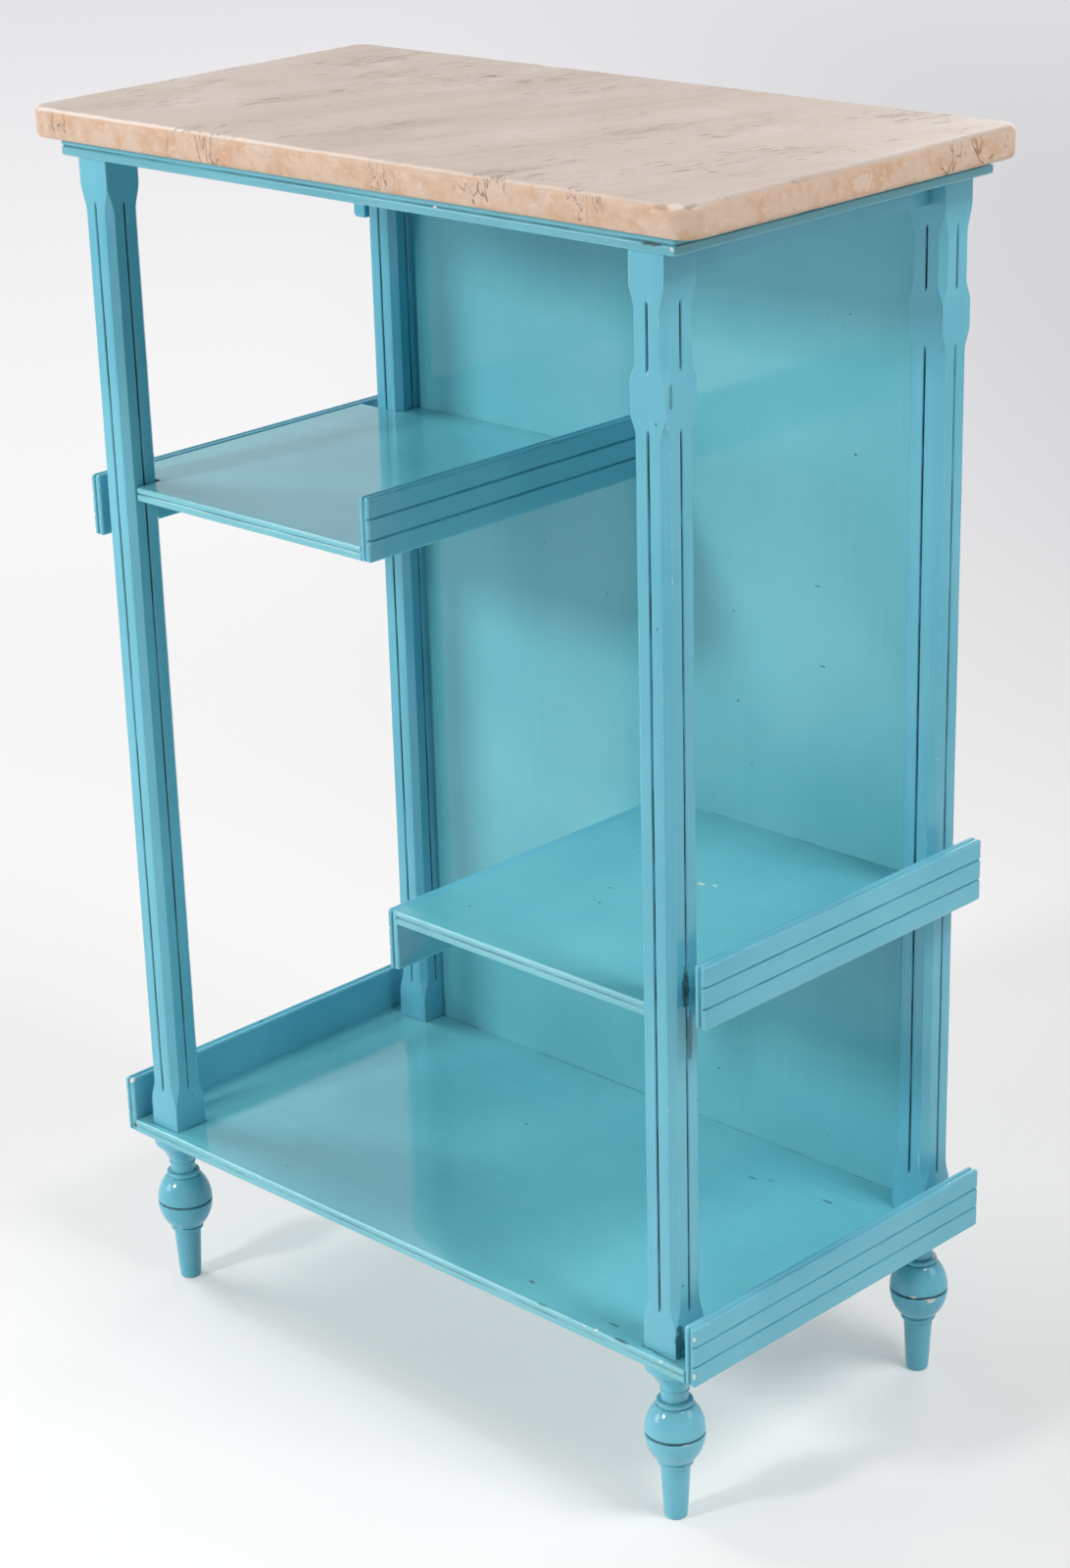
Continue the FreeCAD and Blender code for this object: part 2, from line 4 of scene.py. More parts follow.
import bpy
import numpy as np
from mathutils import Matrix, Vector


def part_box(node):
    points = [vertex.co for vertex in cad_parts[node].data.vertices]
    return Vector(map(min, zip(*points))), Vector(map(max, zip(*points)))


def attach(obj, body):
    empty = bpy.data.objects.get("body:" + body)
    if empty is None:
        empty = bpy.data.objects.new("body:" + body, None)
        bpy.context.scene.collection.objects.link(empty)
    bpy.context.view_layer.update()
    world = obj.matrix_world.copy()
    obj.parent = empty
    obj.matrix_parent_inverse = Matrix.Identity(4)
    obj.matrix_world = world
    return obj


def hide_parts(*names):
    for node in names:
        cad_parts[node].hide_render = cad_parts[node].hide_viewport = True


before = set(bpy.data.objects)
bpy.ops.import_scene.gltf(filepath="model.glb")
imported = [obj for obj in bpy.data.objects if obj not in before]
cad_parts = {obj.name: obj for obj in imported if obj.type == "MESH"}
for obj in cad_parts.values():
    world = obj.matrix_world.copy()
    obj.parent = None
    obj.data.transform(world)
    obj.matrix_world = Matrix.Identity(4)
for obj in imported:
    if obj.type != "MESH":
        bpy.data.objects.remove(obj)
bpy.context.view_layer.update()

scene = bpy.context.scene
print("frame loaded,", len(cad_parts), "nodes")


# Shader sockets with arithmetic: an expression on them adds Math nodes to the tree

class Wire:
    def __init__(self, tree, socket=None):
        self.tree = tree
        self.socket = socket

    # any node: its type, the values or links of its sockets, and settings, which are set first
    def node(self, kind, sockets=None, settings=None, out=0):
        made = self.tree.nodes.new(kind)
        for key, value in (settings or {}).items():
            setattr(made, key, value)
        for key, value in (sockets or {}).items():
            if isinstance(value, Wire):
                self.tree.links.new(value.socket, made.inputs[key])
            else:
                made.inputs[key].default_value = value
        return Wire(self.tree, made.outputs[out]) if len(made.outputs) else None

    def math(self, operation, *values):
        return self.node("ShaderNodeMath", dict(enumerate(values)), {"operation": operation})

    def __add__(self, other):
        return self.math("ADD", self, other)

    __radd__ = __add__

    def __sub__(self, other):
        return self.math("SUBTRACT", self, other)

    def __rsub__(self, other):
        return self.math("SUBTRACT", other, self)

    def __mul__(self, other):
        return self.math("MULTIPLY", self, other)

    __rmul__ = __mul__

    def __abs__(self):
        return self.math("ABSOLUTE", self)

    # 0 below low, the share above high, smooth between
    def rise(self, low, high, share=1.0):
        return self.node("ShaderNodeMapRange",
                         {"Value": self, "From Min": low, "From Max": high, "To Max": share},
                         {"interpolation_type": "SMOOTHSTEP"})

    def larger(self, other):
        return self.math("MAXIMUM", self, other)

    def vector(self, operation, *values, out=0):
        return self.node("ShaderNodeVectorMath", dict(enumerate(values)), {"operation": operation}, out)

    def parts(self):
        return [self.node("ShaderNodeSeparateXYZ", {0: self}, out=axis) for axis in range(3)]


def newMaterial(name):
    # an empty material, its tree and the object's own coordinates in it
    material = bpy.data.materials.new(name)
    material.use_nodes = True
    material.node_tree.nodes.clear()
    tree = Wire(material.node_tree)
    return material, tree, tree.node("ShaderNodeTexCoord", out="Object")


def linear(red, green, blue):
    # display colour, 0 to 255, as the linear colour that a shader takes
    share = np.array([red, green, blue]) / 255
    value = np.where(share <= 0.04045, share / 12.92, ((share + 0.055) / 1.055) ** 2.4)
    return (*value.tolist(), 1.0)


def mixed(tree, amount, first, second, blend="MIX"):
    return tree.node("ShaderNodeMix", {0: amount, 6: first, 7: second},
                     {"data_type": "RGBA", "blend_type": blend}, out=2)


def noise(tree, place, scale, detail=2.0, rough=0.5, distortion=0.0):
    return tree.node("ShaderNodeTexNoise",
                     {"Vector": place, "Scale": scale, "Detail": detail, "Roughness": rough,
                      "Distortion": distortion})


def stretchedNoise(tree, place, scale, *settings):
    # noise with its own scale along each axis
    mapped = tree.node("ShaderNodeMapping", {"Vector": place, "Scale": scale})
    return noise(tree, mapped, 1.0, *settings)


def attribute(tree, name):
    return tree.node("ShaderNodeAttribute", settings={"attribute_name": name}, out="Fac")


def finishSurface(tree, colour, rough, height, bump, constants=None):
    # the height is in metres; the constants go straight onto the sockets of their names
    normal = tree.node("ShaderNodeBump", {"Strength": bump, "Distance": 1.0, "Height": height})
    shader = tree.node("ShaderNodeBsdfPrincipled",
                       {"Base Color": colour, "Roughness": rough, "Normal": normal, **(constants or {})})
    tree.node("ShaderNodeOutputMaterial", {"Surface": shader})


# Meshes from arrays

def addObject(name, data):
    made = bpy.data.objects.new(name, data)
    scene.collection.objects.link(made)
    return made


def boxCorners(node):
    return [np.array(corner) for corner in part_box(node)]


def makePiece(name, points, quads, caps, masks, sharpAngle=40.0):
    mesh = bpy.data.meshes.new(name)
    faces = quads.tolist() + [cap.tolist() for cap in caps]
    mesh.from_pydata(points.tolist(), [], faces, shade_flat=False)
    for key, values in masks.items():
        layer = mesh.attributes.new(key, "FLOAT", "POINT")
        layer.data.foreach_set("value", values.astype(np.float32).ravel())
    mesh.validate()
    mesh.set_sharp_from_angle(angle=math.radians(sharpAngle))
    return addObject(name, mesh)


def standFor(piece, node, material):
    piece.data.materials.append(material)
    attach(piece, "root")
    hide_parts(node)


def makeTube(name, rings, masks, sharpAngle=40.0):
    # closed rings of points, each joined to the next, with a cap on the first and the last
    count, around = rings.shape[:2]
    first = np.arange(count - 1)[:, None] * around
    here = np.arange(around)[None, :]
    after = (here + 1) % around
    quads = np.stack([first + here, first + after, first + around + after, first + around + here], -1)
    caps = [here[0, ::-1], here[0] + (count - 1) * around]
    return makePiece(name, rings.reshape(-1, 3), quads.reshape(-1, 4), caps, masks, sharpAngle)


def ripple(along, seed, lengths=(0.31, 0.127, 0.053), shift=1.7):
    # three sine waves of the given lengths, out of step by the seed, between -1 and 1
    waves = [np.sin(2 * np.pi * along / length + seed * (k + shift)) for k, length in enumerate(lengths)]
    return sum(waves) / len(waves)


def smooth(share):
    share = np.clip(share, 0, 1)
    return share * share * (3 - 2 * share)


def softGroove(share):
    # 1 on the centre line and 0 at share 1, with rounded lips and a rounded bottom
    return 0.5 + 0.5 * np.cos(np.pi * np.clip(np.abs(share), 0, 1))


def grooveShares(lip):
    # nine places across a groove, from edge to edge, and one beyond each edge
    return np.concatenate([[-lip], np.linspace(-1, 1, 9), [lip]])


# Posts: a square section with chamfered, softened corners and a cut line on each face, carried up
# the post; the chamfer and the line come and go with height

postShape = {
    "chamfer": 0.0049,
    "arris": 0.0009,
    "arrisSteps": 5,
    "flatShares": (0.15, 0.6),  # two places between an arris and the cut line
    "endStop": 0.02,
    "middleStop": 0.015,
    "topBlock": 0.0177,
    "bottomBlock": 0.0188,
    "middleDrop": 0.0816,
    "middleHeight": 0.016,
    "grooveWidth": 0.0026,
    "grooveDepth": 0.0018,
    "grooveTaper": 0.006,
    "grooveLip": 1.3,
    "levels": 90,
    "stopLevels": 17,
    "taperLevels": 7,
    "wander": 0.00012,
    "rebateWidth": 0.009,
    "rebateDepth": 0.00825,
}


def postRuns(low, high, hasMiddle):
    # each run has two ends, a level and the length of the stop there
    shape = postShape
    bottom = (low + shape["bottomBlock"], shape["endStop"])
    top = (high - shape["topBlock"], shape["endStop"])
    if not hasMiddle:
        return [(bottom, top)]
    blockTop = (high - shape["middleDrop"], shape["middleStop"])
    blockBottom = (blockTop[0] - shape["middleHeight"], shape["middleStop"])
    return [(bottom, blockBottom), (blockTop, top)]


def stopRise(z, run):
    # an S from 0 to 1 over the stop at the low end, and back to 0 over the stop at the high end
    (low, lowStop), (high, highStop) = run
    return np.minimum(smooth((z - low) / lowStop), smooth((high - z) / highStop))


def lineRise(z, run):
    # the cut line begins half way along each stop and deepens over its taper
    (low, lowStop), (high, highStop) = run
    taper = postShape["grooveTaper"]
    return np.minimum(smooth((z - low - lowStop / 2) / taper), smooth((high - highStop / 2 - z) / taper))


def postLevels(low, high, runs):
    shape = postShape
    parts = [np.linspace(low, high, shape["levels"])]
    for run in runs:
        for (end, stop), way in zip(run, (1, -1)):
            taper = np.linspace(0, shape["grooveTaper"], shape["taperLevels"])
            parts.append(end + way * np.linspace(0, stop, shape["stopLevels"]))
            parts.append(end + way * (stop / 2 + taper))
    return np.unique(np.clip(np.concatenate(parts).round(6), low, high))


def makePost(node, material, rebateCorner, hasMiddle, seed):
    shape = postShape
    low, high = boxCorners(node)
    middle = (low + high) / 2
    half = (high[0] - low[0]) / 2
    runs = postRuns(low[2], high[2], hasMiddle)
    z = postLevels(low[2], high[2], runs)[:, None]
    arris = shape["arris"]
    tangent = arris * math.tan(math.pi / 8)
    least = math.sqrt(2) * tangent
    rise = sum(stopRise(z, run) for run in runs)
    cut = least + (shape["chamfer"] - least) * rise
    line = sum(lineRise(z, run) for run in runs)
    # one quarter of the section: n is the distance out from the axis, t runs along the face
    turn = np.radians(np.linspace(-45, 0, shape["arrisSteps"]))[None, :]
    share = grooveShares(shape["grooveLip"])[None, :]
    grooveAt = shape["grooveWidth"] / 2 * share
    sunk = line * softGroove(share)
    start = -(half - cut) + tangent
    flatT = start + (grooveAt[0, 0] - start) * np.array(shape["flatShares"])[None, :]
    ones = np.ones_like(z)
    corner = half - arris + arris * np.cos(turn) * ones
    flatN = half * np.ones_like(flatT)
    grooveN = half - shape["grooveDepth"] * sunk
    n = np.concatenate([half - cut / 2, corner, flatN, grooveN, flatN, corner], 1)
    t = np.concatenate([-(half - cut / 2), start + arris * np.sin(turn), flatT, grooveAt * ones,
                        -flatT[:, ::-1], -start - arris * np.sin(turn)[:, ::-1]], 1)
    bend = ones * np.sin(np.pi * np.linspace(0, 1, shape["arrisSteps"]))[None, :]
    edge = np.concatenate([0 * z, bend, 0 * flatT, 0 * sunk, 0 * flatT, bend], 1)
    grimeAndShade = np.concatenate([0 * z, 0 * bend, 0 * flatT, sunk, 0 * flatT, 0 * bend], 1)
    n = n + shape["wander"] * (ripple(z, seed) - 1)
    quarters = [(n, t), (-t, n), (-n, -t), (t, -n)]
    x, y = (np.concatenate(part, 1) for part in zip(*quarters))
    if rebateCorner:
        cutRebate(x, y, half, rebateCorner, n.shape[1])
    rings = np.stack([middle[0] + x, middle[1] + y, z + 0 * x], -1)
    masks = {"grimeAndShade": np.tile(grimeAndShade, (1, 4)), "edge": np.tile(edge, (1, 4))}
    standFor(makeTube("painted_" + node, rings, masks), node, material)


def cutRebate(x, y, half, side, size):
    # the points of one corner go round the inside corner that takes the edge of the panel
    inner = side * half
    wall = side * (half - postShape["rebateWidth"])
    deep = half - postShape["rebateDepth"]
    steps = postShape["arrisSteps"]
    firstQuarter = 2 if side < 0 else 1
    at = (firstQuarter * size + np.arange(-steps, steps + 1)) % (4 * size)
    goX = np.array([wall] * (steps + 1) + [wall + (inner - wall) * k / steps for k in range(1, steps + 1)])
    goY = np.array([half - (half - deep) * k / steps for k in range(steps + 1)] + [deep] * steps)
    if side > 0:
        goX, goY = goX[::-1], goY[::-1]
    x[:, at] = goX
    y[:, at] = goY


# Boards and galleries: the surface of a block of grid cells, its edges rounded by pulling every
# point in to an inner box and pushing it out again by the radius; soft grooves sink into a face

roundSteps = (0.0, 0.2, 0.4226, 0.7321, 1.0)  # shares of the radius that make nearly even turns
boardLip = 1.25
waveSeeds = (0.4, 1.9)  # of the waves along the length and the depth
hair = 1e-6  # metres, less than any real size


def gridLines(low, high, radius, step, extra=()):
    near = low + radius * np.array(roundSteps)
    far = high - radius * np.array(roundSteps)
    count = max(2, int(round((high - low - 2 * radius) / step)))
    inside = np.linspace(low + radius, high - radius, count + 1)
    lines = np.unique(np.concatenate([near, far, inside, np.array(extra, float)]).round(7))
    return lines[(lines >= low - hair) & (lines <= high + hair)]


def grooveLines(centre, width):
    return (centre + width / 2 * grooveShares(boardLip)).tolist()


def blockSurface(xs, ys, zs, keep=None):
    # a quad wherever a kept cell meets an empty one; returns the used grid points and the quads
    cells = np.ones((len(xs) - 1, len(ys) - 1, len(zs) - 1), bool) if keep is None else keep
    padded = np.pad(cells, 1).astype(np.int8)
    stride = np.array([len(ys) * len(zs), len(zs), 1])
    quads = []
    for axis in range(3):
        cut = [slice(1, -1)] * 3
        cut[axis] = slice(None)
        step = np.diff(padded, axis=axis)[tuple(cut)]
        others = [k for k in range(3) if k != axis][::-1 if axis == 1 else 1]
        first, second = stride[others]
        around = np.array([0, first, first + second, second])
        for sign in (1, -1):
            quad = (np.argwhere(step == sign) @ stride)[:, None] + around
            quads.append(quad[:, ::-1] if sign == 1 else quad)
    quads = np.concatenate(quads)
    used, quads = np.unique(quads, return_inverse=True)
    gridPoints = np.stack(np.meshgrid(xs, ys, zs, indexing="ij"), -1).reshape(-1, 3)
    return gridPoints[used], quads.reshape(-1, 4)


def rounded(points, low, high, radius):
    # points of the inner box stay; the least size keeps them from dividing by 0
    inner = np.clip(points, low + radius, high - radius)
    out = points - inner
    size = np.linalg.norm(out, axis=1, keepdims=True)
    facing = out / np.maximum(size, 1e-9)
    edge = (1 - np.abs(facing).max(1)) / (1 - math.sqrt(0.5)) * (size[:, 0] > 1e-7)
    return inner + facing * radius, facing, np.clip(edge, 0, 1)


def sinkGroove(points, rest, facing, grimeAndShade, groove):
    # deepest on the centre line; it fades where the face turns away, late for a small fade
    sunk = softGroove((rest[:, groove["across"]] - groove["centre"]) / (groove["width"] / 2))
    weight = np.clip(facing[:, groove["axis"]] * groove["side"] / groove["fade"], 0, 1)
    points -= facing * (groove["depth"] * sunk * weight)[:, None]
    return np.maximum(grimeAndShade, groove["grimeAndShade"] * sunk * weight)


boardShape = {
    "edgeRadius": 0.002,
    "step": 0.014,
    "grooveShare": 0.55,
    "grooveWidth": 0.0026,
    "grooveDepth": 0.001,
    "grooveFade": 0.9,
    "grimeAndShade": 0.45,
    "wave": 0.0001,
}


def makeBoard(node, material, shape, grooves, keep=None, extra=((), (), ()), limits=None, plain=()):
    # plain faces, (axis, side), meet another piece and keep their edges square
    low, high = boxCorners(node)
    radius = shape["edgeRadius"]
    lists = [list(extra[axis]) for axis in range(3)]
    for groove in grooves:
        lists[groove["across"]] += grooveLines(groove["centre"], groove["width"])
    lines = [gridLines(low[axis], high[axis], radius, shape["step"], lists[axis]) for axis in range(3)]
    cells = keep(*[(axis[1:] + axis[:-1]) / 2 for axis in lines]) if keep else None
    rest, quads = blockSurface(*lines, cells)
    lowest = np.tile(low, (len(rest), 1))
    highest = np.tile(high, (len(rest), 1))
    for axis, side in plain:
        (highest if side > 0 else lowest)[:, axis] += side * radius
    if limits:
        limits(rest, lowest, highest)
    points, facing, edge = rounded(rest, lowest, highest, radius)
    # the brushed surface lies a little in, by waves along the length and the depth
    wave = 1 - 0.5 * ripple(rest[:, 0], waveSeeds[0]) - 0.5 * ripple(rest[:, 1], waveSeeds[1])
    points -= facing * (shape["wave"] * wave * (1 - np.abs(facing[:, 2])))[:, None]
    grimeAndShade = np.zeros(len(rest))
    for groove in grooves:
        grimeAndShade = sinkGroove(points, rest, facing, grimeAndShade, groove)
    piece = makePiece("painted_" + node, points, quads, (), {"grimeAndShade": grimeAndShade, "edge": edge})
    standFor(piece, node, material)


galleryShape = {
    "edgeRadius": 0.0024,
    "step": 0.012,
    "reedShares": (0.34, 0.67),
    "reedWidth": 0.0024,
    "reedDepth": 0.0015,
    "reedFade": 0.3,
    "topGrimeAndShade": 0.5,  # grime and painted shade along the top, as a share of that in the reeds
    "endWidth": 0.003,
    "endDepth": 0.0016,
    "endFade": 0.9,
    "wave": 0.0001,
}


def makeGallery(node, material, side, endGrimeAndShade, reedGrimeAndShade=0.35, flush=False):
    # reeds along the outer face, a wide groove round the ends and along the top
    shape = galleryShape
    low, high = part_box(node)
    reed = {"width": shape["reedWidth"], "depth": shape["reedDepth"], "grimeAndShade": reedGrimeAndShade,
            "fade": shape["reedFade"]}
    end = {"width": shape["endWidth"], "depth": shape["endDepth"], "across": 0,
           "centre": (low.x + high.x) / 2, "fade": shape["endFade"]}
    grooves = [{"axis": 0, "side": side, "across": 2, "centre": low.z + share * (high.z - low.z), **reed}
               for share in shape["reedShares"]]
    grooves += [{"axis": 1, "side": way, "grimeAndShade": endGrimeAndShade, **end} for way in (-1, 1)]
    if not flush:
        grooves.append({"axis": 2, "side": 1, "grimeAndShade": shape["topGrimeAndShade"] * reedGrimeAndShade, **end})

    def limits(rest, lowest, highest):
        # the top of a flush gallery runs on into its shelf without a seam
        upper = rest[:, 2] > (low.z + high.z) / 2
        highest[upper, 0] += shape["edgeRadius"]

    makeBoard(node, material, shape, grooves, limits=limits if flush else None)


def edgeGroove(node, axis, side):
    low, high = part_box(node)
    shape = boardShape
    centre = low.z + shape["grooveShare"] * (high.z - low.z)
    return {"axis": axis, "side": side, "across": 2, "centre": centre, "width": shape["grooveWidth"],
            "depth": shape["grooveDepth"], "fade": shape["grooveFade"], "grimeAndShade": shape["grimeAndShade"]}


shelfShape = {"notch": 0.0002}


def makeShelf(node, material, side):
    # a board with a tongue that passes between the posts, beside two notches
    hand = "left" if side < 0 else "right"
    postLow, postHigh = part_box("front_" + hand + "_post")
    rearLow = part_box("rear_" + hand + "_post")[0]
    notch = shelfShape["notch"]
    mainEnd = side * (min(abs(postLow.x), abs(postHigh.x)) - notch)
    tongueLow = postHigh.y + notch
    tongueHigh = rearLow.y - notch

    def keep(x, y, z):
        inMain = (x * side < mainEnd * side)[:, None, None]
        inTongue = ((y > tongueLow) & (y < tongueHigh))[None, :, None]
        return (inMain | inTongue) & np.ones((1, 1, len(z)), bool)

    def limits(rest, lowest, highest):
        # past the main part the tongue's front is square, where it passes behind the post
        lowest[rest[:, 0] * side > mainEnd * side + hair, 1] -= boardShape["edgeRadius"]

    plain = ((0, -1), (0, 1), (1, 1))
    extra = ((mainEnd,), (tongueLow, tongueHigh), ())
    makeBoard(node, material, boardShape, [edgeGroove(node, 1, -1)], keep, extra, limits, plain)


# Slab: an upright profile with rounded edges carried round a four-sided outline with rounded corners,
# then rings drawn in to the middle of the top; shallow hollows and chipped edges sink into it

slabShape = {
    "cornerRadius": 0.015,
    "topRadius": 0.005,
    "bottomRadius": 0.004,
    "cornerSteps": 14,
    "alongSteps": (210, 100),
    "bottomSteps": 8,
    "wallLevels": 4,
    "topSteps": 9,
    "topRings": 64,
    "innerRing": 0.012,  # share of the outline that the last ring keeps
    "edgeTilt": 0.7,  # tilts are 0 on the walls and 1 on the top
    "rimTilt": 0.5,
    "sideTilts": (0.25, 0.6),  # where the top's colour begins, and over how much it comes in
    "hollow": {"depth": 0.0002, "stretch": (0.35, 1, 1), "size": 0.009, "seed": 3, "low": 0.58, "span": 0.3},
    "chip": {"depth": 0.0007, "stretch": (1, 1, 1), "size": 0.006, "seed": 11, "low": 0.88, "span": 0.12},
    "cornerChip": {"fromRight": 0.010, "fromFront": 0.003, "reach": 0.007, "share": 0.9},
}
latticeKeys = (374761393, 668265263, 2147483647)  # odd factors that scatter the values
seedKey = 144665
mixKey = 1274126177


def slabOutline(halfX, lowY, highY):
    # four straight sides and four arcs, as places and outward directions
    shape = slabShape
    radius = shape["cornerRadius"]
    centres = np.array([(radius - halfX, lowY + radius), (halfX - radius, lowY + radius),
                        (halfX - radius, highY - radius), (radius - halfX, highY - radius)])
    out = np.array([(0, -1), (1, 0), (0, 1), (-1, 0)])
    places, facings = [], []
    for k in range(4):
        turn = np.radians(np.linspace(180, 270, shape["cornerSteps"]) + 90 * k)
        ring = np.stack([np.cos(turn), np.sin(turn)], -1)
        start = centres[k] + radius * out[k]
        end = centres[(k + 1) % 4] + radius * out[k]
        share = np.linspace(0, 1, shape["alongSteps"][k % 2] + 1)[1:-1, None]
        places += [centres[k] + radius * ring, start + (end - start) * share]
        facings += [ring, np.tile(out[k], (len(share), 1))]
    return np.concatenate(places), np.concatenate(facings)


def lumps(points, size, seed):
    # smooth random hills between 0 and 1: values at the corners of a lattice, blended between them
    at = points / size
    cell = np.floor(at).astype(np.int64)
    share = smooth(at - cell)
    total = 0
    for corner in itertools.product((0, 1), repeat=3):
        key = sum((cell[..., k] + d) * latticeKeys[k] for k, d in enumerate(corner)) + seed * seedKey
        key = (key ^ (key >> 13)) * mixKey & 0xFFFFFFFF
        value = ((key ^ (key >> 16)) & 0xFFFF) / 65535
        near = [share[..., k] if d else 1 - share[..., k] for k, d in enumerate(corner)]
        total = total + value * near[0] * near[1] * near[2]
    return total


def hills(points, look):
    # lumps that stand above the low level, from 0 to 1 over the span
    tall = lumps(points * np.array(look["stretch"]), look["size"], look["seed"])
    return smooth((tall - look["low"]) / look["span"])


def makeSlab(node, material):
    shape = slabShape
    low, high = boxCorners(node)
    place, facing = slabOutline(high[0], low[1], high[1])
    down = np.radians(np.linspace(-90, 0, shape["bottomSteps"]))
    upTurn = np.radians(np.linspace(0, 90, shape["topSteps"]))
    r0, r1 = shape["bottomRadius"], shape["topRadius"]
    upright = np.zeros(shape["wallLevels"])
    inset = np.concatenate([r0 - r0 * np.cos(down), upright, r1 - r1 * np.cos(upTurn)])
    level = np.concatenate([low[2] + r0 + r0 * np.sin(down),
                            np.linspace(low[2] + r0, high[2] - r1, shape["wallLevels"] + 2)[1:-1],
                            high[2] - r1 + r1 * np.sin(upTurn)])
    tilt = np.concatenate([np.sin(down), upright, np.sin(upTurn)])
    wall = place[None] - facing[None] * inset[:, None, None]
    middle = (low + high)[:2] / 2
    share = np.linspace(1, shape["innerRing"], shape["topRings"] + 1)[1:, None, None]
    top = middle + (wall[-1] - middle)[None] * share
    flat = np.concatenate([wall, top])
    levels = np.concatenate([level, np.full(shape["topRings"], high[2])])
    tilts = np.concatenate([tilt, np.ones(shape["topRings"])])
    tilted = tilts[:, None, None]
    ones = np.ones(flat.shape[:2] + (1,))
    rings = np.concatenate([flat, levels[:, None, None] * ones], -1)
    facings = np.concatenate([facing[None] * np.sqrt(np.maximum(0, 1 - tilted ** 2)), tilted * ones], -1)
    # hollows lie all over, chips on the edges, and one larger chip at the near corner
    edge = 1 - np.clip(np.abs(np.abs(tilts) - shape["edgeTilt"]) / shape["edgeTilt"], 0, 1)[:, None]
    hollow = hills(rings, shape["hollow"])
    chip = hills(rings, shape["chip"]) * edge
    corner = shape["cornerChip"]
    spot = np.array([high[0] - corner["fromRight"], low[1] + corner["fromFront"], high[2]])
    near = np.exp(-((rings - spot) ** 2).sum(-1) / corner["reach"] ** 2)
    chipped = np.maximum(chip, corner["share"] * near * edge)
    depth = shape["hollow"]["depth"] * hollow + shape["chip"]["depth"] * chipped
    rings = rings - facings * depth[..., None]
    around = rings.shape[1]
    sideFrom, sideOver = shape["sideTilts"]
    rimShare = np.clip(1 - np.abs(tilts - shape["rimTilt"]) / shape["rimTilt"], 0, 1)
    masks = {"side": np.repeat(1 - smooth((tilts - sideFrom) / sideOver), around),
             "edge": np.maximum(chip, near * edge),
             "rim": np.repeat(rimShare, around)}
    standFor(makeTube(node + "_honed", rings, masks, sharpAngle=60.0), node, material)


# Feet: an outline of radius against height, turned about the foot's axis

footShape = {
    "around": 80,
    "soleRadius": 0.0082,
    "soleRound": 0.002,
    "legLength": 0.041505,
    "legTopRadius": 0.0104,
    "ringRadius": 0.0125,
    "ringHeight": 0.0044,
    "ballRadius": 0.021,
    "ballRise": 0.0267,
    "grooveWidth": 0.0017,
    "grooveDepth": 0.0013,
    "grooveTurn": 5.5,  # degrees about the ball's middle that are finely divided
    "grooveGap": 0.5,
    "grooveFrom": 0.97,  # share of the ball's radius beyond which the groove is cut
    "collarRadius": 0.0128,
    "collarHeight": 0.004,
    "collarBulge": 0.8,
    "neckRadius": 0.0096,
    "neckLength": 0.0085,
    "beadHeight": 0.0016,
    "beadReach": 0.0006,
    "coveRadius": 0.02,
    "coveHeight": 0.0164,
    "coveHollow": 0.0013,
    "coveSteps": 14,
    "rimHeight": 0.005,
    "jointReach": (0.0012, 0.001),  # of the grime and painted shade above and below the collar
    "jointGrimeAndShade": 0.35,
}


def arc(centre, radii, first, last, count):
    turn = np.radians(np.linspace(first, last, count))
    return np.stack([centre[0] + radii[0] * np.cos(turn), centre[1] + radii[1] * np.sin(turn)], -1)


